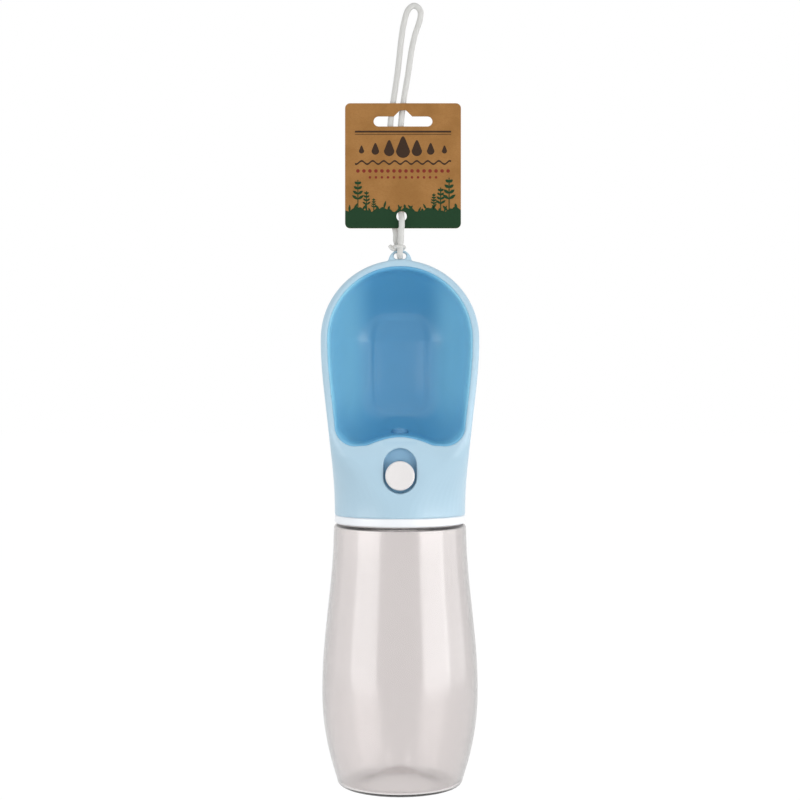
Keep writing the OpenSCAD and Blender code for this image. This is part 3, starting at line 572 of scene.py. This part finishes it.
# How far a thread's ridge stands out, and the heights on the neck and in the collar that it climbs
RIDGE, NECK_THREAD, COLLAR_THREAD = 0.9, (-2.1, 5.6), (0, 6.3)


def thread_ridge(name, radius, out, z_low, z_high):
    "A helical ridge on a wall, standing out (or in, below zero), thinned to nothing at its ends"
    half_t, root, run_in, turn_steps = 0.75, 0.3, 12, 96
    turns = (z_high - z_low) / THREAD_LEAD
    steps, sides = int(turn_steps * turns), 10
    verts = []
    for i in range(steps + 1):
        f = i / steps
        a = 2 * math.pi * turns * f
        size = min(1, f * run_in, (1 - f) * run_in) ** 0.5
        z = z_low + (z_high - z_low) * f
        for s in range(sides):
            b = 2 * math.pi * s / sides
            r = radius + (out * math.cos(b) * size if math.cos(b) > 0 else -math.copysign(root, out))
            verts.append((r * math.cos(a), r * math.sin(a), z + half_t * math.sin(b) * size))
    faces = grid_faces(steps + 1, sides)
    faces += [tuple(range(sides))[::-1], tuple(range(steps * sides, (steps + 1) * sides))]
    return new_solid(name, np.array(verts) + HEAD_AT, faces)


# ---- button and its valve's spring ----
def make_button():
    r, edge, chamfer = BUTTON_D / 2, 0.9, 0.2
    dish, dish_rim = 0.35, 1.5      # depth of the hollow in the cap, and the flat ring round it
    groove_y, groove_w, groove_r, length = 13.3, 0.8, SHANK_R - 0.5, 14.7
    profile = [(r * k, dish * deep) for k, deep in ((0, 1), (0.3, 0.92), (0.55, 0.6), (0.72, 0.2))]
    profile += [(r - dish_rim, 0)] + arc(r - edge, edge, edge, -90, 0, 10)
    profile += [(r, BUTTON_T - chamfer), (r - chamfer, BUTTON_T), (SHANK_R, BUTTON_T)]
    profile += [(SHANK_R, groove_y), (groove_r, groove_y), (groove_r, groove_y + groove_w)]
    profile += [(SHANK_R, groove_y + groove_w), (SHANK_R, length - chamfer)]
    profile += [(SHANK_R - chamfer, length), (0, length)]
    return lathe("button_skin", profile, HEAD_AT + (0, FRONT_Y - BUTTON_OUT, BUTTON_Z), 128, "y")


def make_spring():
    """The valve's return spring as one round wire, resting on the valve body at its rear end.

    Returns it with that end's y and the share of its length that is left when the valve is open
    """
    turn_steps = 24
    low, high = (np.array(corner_at) / MM for corner_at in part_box("return_spring"))
    start, end = low[1] + WIRE_R, high[1] - WIRE_R
    steps = turn_steps * SPRING_TURNS
    route = []
    for i in range(steps + 1):
        a = 2 * math.pi * SPRING_TURNS * i / steps
        route.append((HEAD_AT[0] + SPRING_R * math.cos(a), start + (end - start) * i / steps,
                      HEAD_AT[2] + BUTTON_Z + SPRING_R * math.sin(a)))
    ob = cord_mesh("return_spring_coil", route, WIRE_R, relief=0, gap=0.35, sides=14)
    stroke = next(j for j in frame["joints"] if j["name"] == "valve_stroke")["range_m"][1]
    return ob, high[1] * MM, 1 - stroke / ((high[1] - low[1]) * MM)


# ---- hang tag: outlines are about the card's middle ----
CUT = 3                     # a cutter reaches this far past the card's front and back


def tag_rim():
    w, h, r = TAG_W / 2, TAG_H / 2, TAG_CORNER
    top = arc(w - r, h - r, r, 0, 90) + arc(r - w, h - r, r, 90, 180)
    return top + arc(r - w, r - h, r, 180, 270) + arc(w - r, r - h, r, 270, 360)


def tag_slot():
    # Half widths of the peak at its foot, under its top and at its top, and the top's rounding
    foot_w, under_w, top_w, top_round = 4.6, 1.9, 1.3, 0.4
    e = SLOT_H / 2
    z = TAG_H / 2 - SLOT_DOWN - e
    peak_z = z + e + SLOT_PEAK
    right = [(foot_w, z + e), (under_w, peak_z - top_round), (top_w, peak_z)]
    peak = right + [(-x, up) for x, up in reversed(right)]
    return arc(SLOT_W / 2 - e, z, e, -90, 90, 12) + peak + arc(e - SLOT_W / 2, z, e, 90, 270, 12)


def tag_hole(r):
    return circle(TAG_HOLE_AT[0] - TAG_AT[0], TAG_HOLE_AT[1] - TAG_AT[2], r, 48)


def make_tag():
    ob = prism("hang_tag_card", tag_rim(), -TAG_T, 0, TAG_AT)
    combine(ob, prism("slot", tag_slot(), -CUT, CUT, TAG_AT), "DIFFERENCE")
    combine(ob, prism("hole", tag_hole(TAG_HOLE_R), -CUT, CUT, TAG_AT), "DIFFERENCE")
    for p in ob.data.polygons:
        p.use_smooth = False
    return ob


# ---- print on the card ----
INK_T, INK_SUNK = 0.03, 0.01    # thickness of the print, and how far it reaches into the card
INK_STEPS = 11                  # overlapping shapes of one colour lie in this many thin steps


def flat_shapes(name, outlines, layer=0):
    "Thin printed shapes on the card's front"
    verts, faces = [], []
    y0 = -TAG_T - 2 * layer * INK_T
    for number, outline in enumerate(outlines):
        n, start = len(outline), len(verts)
        front = y0 - INK_T * (1 + number % INK_STEPS / INK_STEPS)
        verts += [(x, front, z) for x, z in outline]
        verts += [(x, y0 + INK_SUNK, z) for x, z in outline]
        faces.append(tuple(range(start, start + n)))
        faces.append(tuple(range(start + 2 * n - 1, start + n - 1, -1)))
        for i in range(n):
            k = (i + 1) % n
            faces.append((start + i, start + n + i, start + n + k, start + k))
    return new_solid(name, np.array(verts) + TAG_AT, faces, False)


def drop(cx, cz, r):
    "A water drop standing on its round end"
    steps, taper, rise = 40, 0.25, 1.1
    points = []
    for i in range(steps):
        a = 2 * math.pi * i / steps
        up = max(0, math.cos(a))
        points.append((cx + r * math.sin(a) * (1 - taper * up),
                       cz + r * math.cos(a) + up ** 3 * r * rise))
    return points


def leaf(x, z, length, width, lean):
    "A pointed leaf that grows from x, z and leans by an angle"
    steps, fullness = 10, 0.8
    shares = [i / steps for i in range(steps + 1)]
    side = [(width * math.sin(math.pi * f) ** fullness, length * f) for f in shares]
    shape = side + [(-u, v) for u, v in side[-2:0:-1]]
    c, s = math.cos(lean), math.sin(lean)
    return [(x + c * u + s * v, z - s * u + c * v) for u, v in shape]


def wave(x0, x1, z, rise, pitch, thick):
    "A wavy ribbon"
    steps = 240
    xs = [x0 + (x1 - x0) * i / steps for i in range(steps + 1)]
    line = [(x, z + rise * math.sin(2 * math.pi * x / pitch)) for x in xs]
    low = [(x, u - thick / 2) for x, u in line]
    return low + [(x, u + thick / 2) for x, u in reversed(line)]


def print_green():
    "The green band: waves along its top, blades of grass on them and sprigs towards both sides"
    margin, band_h, crest_steps = 0.02, 9.4, 120
    half, low, r = TAG_W / 2 - margin, margin - TAG_H / 2, TAG_CORNER

    def top(x):
        return -TAG_H / 2 + band_h + 0.9 * math.sin(x * 0.52 + 0.6) + 0.35 * math.sin(x * 1.7)

    xs = [half - 2 * half * i / crest_steps for i in range(crest_steps + 1)]
    band = [(x, top(x)) for x in xs] + arc(r - half, low + r, r, 180, 270)
    band += arc(half - r, low + r, r, 270, 360)
    ob = flat_shapes("tag_band", [band])
    combine(ob, prism("hole", tag_hole(TAG_HOLE_R + margin), -CUT, CUT, TAG_AT), "DIFFERENCE")

    # Blades: sines of their number make them uneven
    blades, blade_margin, root = 26, 2.2, 0.8
    leaves = []
    for i in range(blades):
        x = -half + blade_margin + 2 * (half - blade_margin) * i / (blades - 1)
        length = 3.2 + 1.1 * math.sin(i * 1.7 + 1)
        width = 0.55 + 0.12 * math.sin(i * 3.1)
        leaves.append(leaf(x, top(x) - root, length, width, 0.75 * math.sin(i * 2.4)))

    # Sprigs: place and height. The leaves' places and sizes are shares of that height
    stem_w, sprig_root, pairs, spread = 0.22, 1, 4, 0.95
    for x, tall in ((-22.5, 15), (-18.2, 10.5), (-14.6, 7), (15.4, 8), (18.8, 12.5), (23, 16.5)):
        foot = top(x) - sprig_root
        leaves.append(rectangle(x - stem_w, foot, x + stem_w, foot + tall))
        for i in range(pairs):
            z = foot + tall * (0.35 + 0.17 * i)
            for lean in (-spread, spread):
                leaves.append(leaf(x, z, tall * (0.24 - 0.035 * i), tall * 0.045, lean))
    return ob, flat_shapes("tag_leaves", leaves, 1)


def print_brown():
    "A row of drops that grow towards the middle, under two rules and over a wave"
    half, drop_z, drop_gap = 24, 7.4, 6.9
    radii = (1.3, 1.9, 2.6, 3.5, 2.6, 1.9, 1.3)
    shapes = [drop(drop_gap * (i - len(radii) // 2), drop_z, r) for i, r in enumerate(radii)]
    for z, thick in ((17, 0.9), (15.7, 0.3)):
        shapes.append(rectangle(-half, z - thick / 2, half, z + thick / 2))
    shapes.append(wave(-half, half, z=1.6, rise=0.8, pitch=5.5, thick=0.9))
    return flat_shapes("tag_drops", shapes)


def print_red():
    "Two rows of round dots under the wave"
    dot_gap, first_z, row_gap = 3, -2.6, 3.2
    shapes = []
    for row, (count, r) in enumerate(((16, 0.9), (12, 0.65))):
        z = first_z - row_gap * row
        shapes += [circle((i - (count - 1) / 2) * dot_gap, z, r, 20) for i in range(count)]
    return flat_shapes("tag_dots", shapes)


# ---- cord ----
CORD_STEP = 0.2             # length between two rings of a cord's mesh


def smooth_path(points, steps):
    "A smooth curve through the points"
    p = [np.array(q, float) for q in points]
    last = len(p) - 1
    out = []
    for i in range(last):
        a, b, c, d = p[max(i - 1, 0)], p[i], p[i + 1], p[min(i + 2, last)]
        for s in range(steps):
            t = s / steps
            out.append(0.5 * (2 * b + (c - a) * t + (2 * a - 5 * b + 4 * c - d) * t * t
                              + (3 * b - a - 3 * c + d) * t ** 3))
    return out + [p[last]]


def even_path(points, gap):
    "The same curve in even steps, and its length"
    p = np.array(smooth_path(points, steps=24))
    along = np.concatenate(([0], np.cumsum(np.linalg.norm(np.diff(p, axis=0), axis=1))))
    count = max(2, int(round(along[-1] / gap)) + 1)
    s = np.linspace(0, along[-1], count)
    return np.stack([np.interp(s, along, p[:, i]) for i in range(3)], axis=1), along[-1]


def braid(theta, along):
    "Height of a braided surface from 0 to 1, over the angle and the length"
    strands, pitch = 12, 3.4
    a = strands / 2 * theta / (2 * math.pi) + along / pitch
    b = strands / 2 * theta / (2 * math.pi) - along / pitch
    over = (np.floor(a * 2) + np.floor(b * 2)) % 2 < 1
    u = np.where(over, a * 2 % 1, b * 2 % 1) * 2 - 1
    v = np.where(over, b * 2 % 1, a * 2 % 1) * 2 - 1
    return np.sqrt(np.maximum(0, 1 - u * u)) * (0.65 + 0.35 * np.cos(v * math.pi / 2))


def cord_mesh(name, points, radius, relief=0.16, gap=CORD_STEP, sides=40):
    "A tube along a route; its braid goes half the relief above and below the radius"
    path, _ = even_path(points, gap)
    n = len(path)
    tangent = np.gradient(path, axis=0)
    tangent /= np.linalg.norm(tangent, axis=1)[:, None]
    normal = np.cross(tangent[0], (0.3, 1, 0.2))
    normal /= np.linalg.norm(normal)
    theta = 2 * np.pi * np.arange(sides) / sides
    verts = []
    for i in range(n):
        normal = normal - tangent[i] * np.dot(normal, tangent[i])
        normal /= np.linalg.norm(normal)
        side = np.cross(tangent[i], normal)
        r = radius * (1 + relief * (braid(theta, i * gap * np.ones(sides)) - 0.5))
        ring = np.cos(theta)[:, None] * normal + np.sin(theta)[:, None] * side
        verts.append(path[i] + r[:, None] * ring)
    faces = grid_faces(n, sides)
    faces += [tuple(range(sides))[::-1], tuple(range((n - 1) * sides, n * sides))]
    return new_solid(name, np.concatenate(verts), faces)


# ---- materials: a noise's scale is per metre, a bump's distance is in metres ----
def linear(code):
    "A hex colour as linear RGBA"
    out = []
    for i in (0, 2, 4):
        c = int(code[i:i + 2], 16) / 255
        out.append(c / 12.92 if c <= 0.04045 else ((c + 0.055) / 1.055) ** 2.4)
    return (*out, 1)


def darker(colour, share):
    return (*(c * share for c in colour[:3]), 1)


class Nodes:
    "The node tree of a material or a world, with short calls"

    def __init__(self, owner, output="ShaderNodeOutputMaterial"):
        owner.use_nodes = True
        self.owner = owner
        self.tree = owner.node_tree
        self.tree.nodes.clear()
        self.out = self.tree.nodes.new(output)

    def add(self, kind, inputs=None, **props):
        node = self.tree.nodes.new(kind)
        for key, value in props.items():
            setattr(node, key, value)
        for key, value in (inputs or {}).items():
            self.set(node.inputs[key], value)
        return node

    def set(self, socket, value):
        if isinstance(value, bpy.types.NodeSocket):
            self.tree.links.new(value, socket)
        else:
            socket.default_value = value

    def math(self, operation, a, b=0.0):
        return self.add("ShaderNodeMath", {0: a, 1: b}, operation=operation).outputs[0]

    def place(self):
        return self.add("ShaderNodeTexCoord").outputs["Object"]

    def noise(self, scale, detail=3.0, rough=0.5, vector=None):
        inputs = {"Scale": scale, "Detail": detail, "Roughness": rough, "Vector": vector or self.place()}
        return self.add("ShaderNodeTexNoise", inputs).outputs["Fac"]

    def span(self, value, low, high, start=0.0, end=1.0, **props):
        "value, which goes from start to end, turned into low to high"
        inputs = {"Value": value, "From Min": start, "From Max": end, "To Min": low, "To Max": high}
        return self.add("ShaderNodeMapRange", inputs, **props).outputs["Result"]

    def mix(self, factor, a, b):
        inputs = {"Factor": factor, "A": a, "B": b}
        return self.add("ShaderNodeMix", inputs, data_type="RGBA").outputs["Result"]

    def mix_shader(self, factor, a, b):
        return self.add("ShaderNodeMixShader", {0: factor, 1: a, 2: b}).outputs[0]

    def bump(self, height, strength, distance):
        inputs = {"Strength": strength, "Distance": distance, "Height": height}
        return self.add("ShaderNodeBump", inputs).outputs["Normal"]

    def seen(self):
        "1 for rays that show what lies behind: from the camera, mirrored or through a clear wall"
        rays = self.add("ShaderNodeLightPath").outputs
        mirrored = self.math("MAXIMUM", rays["Is Glossy Ray"], rays["Is Transmission Ray"])
        return self.math("MAXIMUM", rays["Is Camera Ray"], mirrored)

    def from_middle(self):
        "Distance sideways from the bottle's axis, then y and z"
        place = self.add("ShaderNodeSeparateXYZ", {0: self.place()}).outputs
        across = self.math("ABSOLUTE", self.math("SUBTRACT", place["X"], HEAD_AT[0] * MM))
        return across, place["Y"], place["Z"]

    def surface(self, **inputs):
        "Finishes the material with a principled surface"
        inputs = {key.replace("_", " "): value for key, value in inputs.items()}
        return self.finish(self.add("ShaderNodeBsdfPrincipled", inputs).outputs[0])

    def finish(self, shader):
        self.set(self.out.inputs["Surface"], shader)
        return self.owner


def material_nodes(name):
    return Nodes(bpy.data.materials.new(name))


def plastic(name, colour, rough, shade=0.95, recess_shade=None, flank_light=None):
    """Moulded plastic: slight flow marks in the colour, fine grain.

    Optional colours: a darker one painted as shade on the floor of the button's recess, and a paler one
    painted as light on the trough's side walls
    """
    m = material_nodes(name)
    flow = m.noise(28.0, 2.0)
    grain = m.noise(700.0, 3.0, 0.6)
    base = linear(colour)
    tone = m.mix(m.span(flow, 0, 1, 0.35, 0.65), base, darker(base, shade))
    if recess_shade:
        tone = m.mix(painted_recess_shade(m), tone, linear(recess_shade))
    if flank_light:
        tone = m.mix(painted_flank_light(m), tone, linear(flank_light))
    return m.surface(Base_Color=tone, Roughness=m.span(grain, rough - 0.03, rough + 0.03),
                     Normal=m.bump(grain, 0.1, 0.00001))


def painted_recess_shade(m):
    """Mask for painted shade: 1 on the floor of the button's recess, fading to 0 up its walls.

    It has no far end in depth, so the shell's back, straight behind the recess, is 1 too and gets the
    same painted shade
    """
    start, end = 1, 3.4         # depths behind the front between which it rises
    past_edge = 0.3             # how far it reaches past the recess's sides
    across, y, z = m.from_middle()
    up = m.math("SUBTRACT", z, (HEAD_AT[2] + BUTTON_Z + LOCK_TRAVEL / 2) * MM)
    near = m.math("LESS_THAN", across, (BUTTON_D / 2 + RECESS_SIDE_GAP + past_edge) * MM)
    level = m.math("LESS_THAN", m.math("ABSOLUTE", up), BUTTON_D * MM)
    front = HEAD_AT[1] + FRONT_Y
    deep = m.span(y, 0, 1, (front + start) * MM, (front + end) * MM)
    return m.math("MULTIPLY", m.math("MULTIPLY", near, level), deep)


def painted_flank_light(m):
    "1 on the trough's side walls, where light comes through the thin shell; less in its foot"
    start, end = 12, 27         # distances from the middle between which it rises
    foot, low, high = 0.3, 5, 28    # its share in the foot, and heights between which it gets whole
    across, _, z = m.from_middle()
    trough = HEAD_AT[2] + TROUGH_Z
    side = m.span(across, 0, 1, start * MM, end * MM, interpolation_type="SMOOTHSTEP")
    up = m.span(z, foot, 1, (trough + low) * MM, (trough + high) * MM, interpolation_type="SMOOTHSTEP")
    return m.math("MULTIPLY", side, up)


def clear_plastic(name):
    "Clear moulded wall: a warm grey tint on each face, absorption through its thickness"
    m = material_nodes(name)
    flow = m.noise(14.0, 2.0)
    grain = m.noise(420.0, 2.0)
    absorb = m.add("ShaderNodeVolumeAbsorption", {"Color": (0.5, 0.47, 0.46, 1), "Density": 8.0})
    m.set(m.out.inputs["Volume"], absorb.outputs[0])
    wall = m.add("ShaderNodeBsdfPrincipled", {
        "Base Color": m.mix(flow, (0.8, 0.768, 0.762, 1), (0.812, 0.782, 0.776, 1)),
        "Roughness": m.span(grain, 0.12, 0.18), "Normal": m.bump(flow, 0.08, 0.0003),
        "Transmission Weight": 1.0, "IOR": 1.46})
    pale_shadow = m.add("ShaderNodeBsdfTransparent", {"Color": (0.9, 0.89, 0.88, 1)})
    shadow = m.add("ShaderNodeLightPath").outputs["Is Shadow Ray"]
    return m.finish(m.mix_shader(shadow, wall.outputs[0], pale_shadow.outputs[0]))


def rubber(name, colour):
    m = material_nodes(name)
    grain = m.noise(1400.0, 4.0, 0.7)
    base = linear(colour)
    return m.surface(Base_Color=m.mix(grain, base, darker(base, 0.8)),
                     Roughness=m.span(grain, 0.55, 0.75), Normal=m.bump(grain, 0.3, 0.00003))


def steel(name):
    m = material_nodes(name)
    grain = m.noise(2200.0, 3.0)
    tone = m.mix(grain, (0.62, 0.63, 0.64, 1), (0.74, 0.75, 0.76, 1))
    return m.surface(Base_Color=tone, Metallic=1.0, Roughness=m.span(grain, 0.22, 0.36),
                     Normal=m.bump(grain, 0.15, 0.00001))


def braided(name, colour):
    m = material_nodes(name)
    fibre = m.noise(4200.0, 4.0, 0.7)
    patch = m.noise(160.0, 2.0)
    base = linear(colour)
    tone = m.mix(m.math("MULTIPLY", fibre, m.span(patch, 0.7, 1.1)), base, darker(base, 0.82))
    return m.surface(Base_Color=tone, Roughness=m.span(fibre, 0.6, 0.85),
                     Normal=m.bump(fibre, 0.5, 0.00006), Sheen_Weight=0.1, Sheen_Roughness=0.4)


def card(name):
    "Kraft card with short fibres and faint clouds"
    m = material_nodes(name)
    stretched = m.add("ShaderNodeMapping", {"Vector": m.place(), "Scale": (1.0, 1.0, 3.0)}).outputs[0]
    fibre = m.noise(900.0, 5.0, 0.75, stretched)
    speck = m.noise(2600.0, 2.0, 0.5)
    cloud = m.noise(90.0, 3.0)
    kraft = m.mix(m.span(cloud, 0, 1, 0.35, 0.65), linear("A1733F"), linear("946835"))
    kraft = m.mix(m.span(fibre, 0, 0.5, 0.45, 0.75), kraft, linear("83562B"))
    kraft = m.mix(m.span(speck, 0, 0.6, 0.66, 0.74), kraft, linear("684423"))
    return m.surface(Base_Color=kraft, Roughness=m.span(fibre, 0.7, 0.9), Specular_IOR_Level=0.25,
                     Normal=m.bump(fibre, 0.3, 0.00005))


def ink(name, colour, deep):
    "Printed ink, uneven over the card's fibre"
    m = material_nodes(name)
    fibre = m.noise(1500.0, 5.0, 0.7)
    tone = m.mix(m.span(fibre, 0, 1, 0.3, 0.75), linear(colour), linear(deep))
    return m.surface(Base_Color=tone, Roughness=m.span(fibre, 0.55, 0.75), Specular_IOR_Level=0.2,
                     Normal=m.bump(fibre, 0.2, 0.00003))


# ---- light and stage ----
FLOOR_Z, FLOOR_HALF = -470, 12000
# Area lamps: place from the head's zero and size in metres, then watts. The key lamps stay level
# with the head, so the trough, which leans back, mirrors only the two small high ones.
LAMPS = {
    "key_left": ((-0.8, -0.56, 0), (0.75, 0.5), 3.3),
    "key_right": ((0.82, -0.56, 0), (0.8, 0.5), 4.8),
    "high_left": ((-0.22, -0.82, 0.42), (0.08, 0.4), 0.5),
    "high_right": ((0.33, -0.8, 0.42), (0.06, 0.4), 0.55),
    "side_left": ((-1, 0.05, 0), (0.7, 0.5), 0.6),
    "side_right": ((1, 0.05, 0), (0.7, 0.5), 1.6),
    "top": ((0, -0.3, 0.95), (0.9, 0.6), 0.8),
}


def make_lamps():
    middle = Vector(HEAD_AT) * MM
    for name, (place, size, power) in LAMPS.items():
        data = bpy.data.lights.new(name, "AREA")
        data.shape = "RECTANGLE"
        data.size, data.size_y = size
        data.energy = power
        lamp = bpy.data.objects.new(name, data)
        lamp.location = middle + Vector(place)
        lamp.rotation_euler = (-Vector(place)).to_track_quat("-Z", "Y").to_euler()
        bpy.context.collection.objects.link(lamp)


def make_floor():
    "A matt floor that shows nearly white to the camera, and not at all from below"
    outline = rectangle(-FLOOR_HALF, -FLOOR_HALF, FLOOR_HALF, FLOOR_HALF)
    floor = new_object("floor", [(x, y, FLOOR_Z) for x, y in outline], [(0, 1, 2, 3)], False)
    m = material_nodes("floor")
    matt = m.add("ShaderNodeBsdfDiffuse", {"Color": (0.86, 0.86, 0.86, 1)}).outputs[0]
    white = m.add("ShaderNodeEmission", {"Color": (1, 1, 1, 1), "Strength": 1.07}).outputs[0]
    from_above = m.mix_shader(m.seen(), matt, m.mix_shader(0.9, matt, white))
    below = m.math("MULTIPLY", m.add("ShaderNodeLightPath").outputs["Is Camera Ray"],
                   m.add("ShaderNodeNewGeometry").outputs["Backfacing"])
    clear = m.add("ShaderNodeBsdfTransparent").outputs[0]
    floor.data.materials.append(m.finish(m.mix_shader(below, from_above, clear)))


def make_world():
    "A soft fill that shows white to the camera"
    world = bpy.data.worlds.new("studio")
    bpy.context.scene.world = world
    m = Nodes(world, "ShaderNodeOutputWorld")
    fill = m.add("ShaderNodeBackground", {"Color": (0.95, 0.97, 1, 1), "Strength": 0.48}).outputs[0]
    white = m.add("ShaderNodeBackground", {"Color": (1, 1, 1, 1), "Strength": 1.0}).outputs[0]
    m.finish(m.mix_shader(m.seen(), fill, white))


# ---- pieces ----
def dress(ob, material, body, nodes=()):
    """Gives a piece its material and its body, and hides the nodes it stands for"""
    ob.data.materials.clear()
    ob.data.materials.append(material)
    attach(ob, body)
    if nodes:
        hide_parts(*nodes)


make_camera()
make_floor()
make_world()
make_lamps()
bpy.context.scene.view_settings.view_transform = "Standard"

# The shell's colour is darkened in the button's recess: painted shade
shell_blue = plastic("shell_blue", "AFCCDC", 0.32, recess_shade="86B0CC")
# The liner's colour is paler on the trough's side walls: painted light
liner_blue = plastic("liner_blue", "62A7CE", 0.3, flank_light="87C5DF")
white_plastic = plastic("collar_white", "F0F2F5", 0.3, 0.97)
button_white = plastic("button_white", "E3DFDD", 0.3, 0.97)
valve_blue = plastic("valve_plastic", "74B1D6", 0.4)
stem_white = plastic("stem_white", "E6E6E6", 0.42)
seal_white = rubber("seal_white", "E8E8E2")
seal_grey = rubber("seal_grey", "5A5C60")
seal_blue = rubber("seal_blue", "6CA8D0")
spring_steel = steel("spring_steel")
cord_white = braided("cord_white", "D6D5D1")
kraft = card("kraft_card")
bottle_clear = clear_plastic("bottle_clear")

cord = cord_mesh("cord_braid", CORD_ROUTE, CORD_D / 2)
dress(cord, cord_white, "head", ["cord"])
knot = cord_mesh("cord_knot_loop", KNOT_ROUTE, CORD_D / 2)
dress(knot, cord_white, "head", ["cord_knot"])
wrap_route = [(WRAP_AT[0] + WRAP_W * math.cos(a), WRAP_AT[1] + WRAP_D * math.sin(a), WRAP_AT[2])
              for a in np.linspace(0, 2 * math.pi, 25)]
dress(cord_mesh("cord_wrap", wrap_route, WRAP_R), cord_white, "head")
dress(cord_mesh("cord_tail", TAIL_ROUTE, WRAP_R), cord_white, "head")

dress(make_shell(), shell_blue, "head", ["head_shell"])
dress(make_liner(), liner_blue, "head", ["trough_liner"])
dress(make_bottle(), bottle_clear, "bottle", ["bottle"])
neck_thread = thread_ridge("neck_thread", NECK_R, RIDGE, *NECK_THREAD)
dress(neck_thread, bottle_clear, "bottle")
collar_thread = thread_ridge("collar_thread", NECK_R + THREAD_ROOM, -RIDGE, *COLLAR_THREAD)
dress(collar_thread, white_plastic, "head")
dress(make_button(), button_white, "button", ["button"])
spring, spring_end_y, spring_keep = make_spring()
dress(spring, spring_steel, "head", ["return_spring"])
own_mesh(spring)
dress(make_tag(), kraft, "head", ["hang_tag"])
band, leaves = print_green()
dress(band, ink("ink_green", "0F2F17", "173B20"), "head")
dress(leaves, ink("ink_leaf", "0E2C15", "18401F"), "head")
dress(print_brown(), ink("ink_brown", "2A1A0E", "3E2A1A"), "head")
dress(print_red(), ink("ink_red", "6E2016", "843424"), "head")

# The nodes that keep their CAD shape
CARRIED = {
    "bottle_gasket": seal_white, "inner_cap": white_plastic, "valve_body": valve_blue,
    "spout_seal": seal_grey, "valve_seat": seal_grey, "valve_stem": stem_white,
    "poppet_washer": seal_grey, "stem_o_ring": seal_grey,
    "valve_plug": valve_blue, "plug_o_ring": seal_grey, "outlet_grommet": seal_blue,
    "lock_slider": liner_blue, "button_clip": spring_steel,
}
for node_name, node_material in CARRIED.items():
    node = frame["nodes"][node_name]
    node.data.materials.clear()
    node.data.materials.append(node_material)
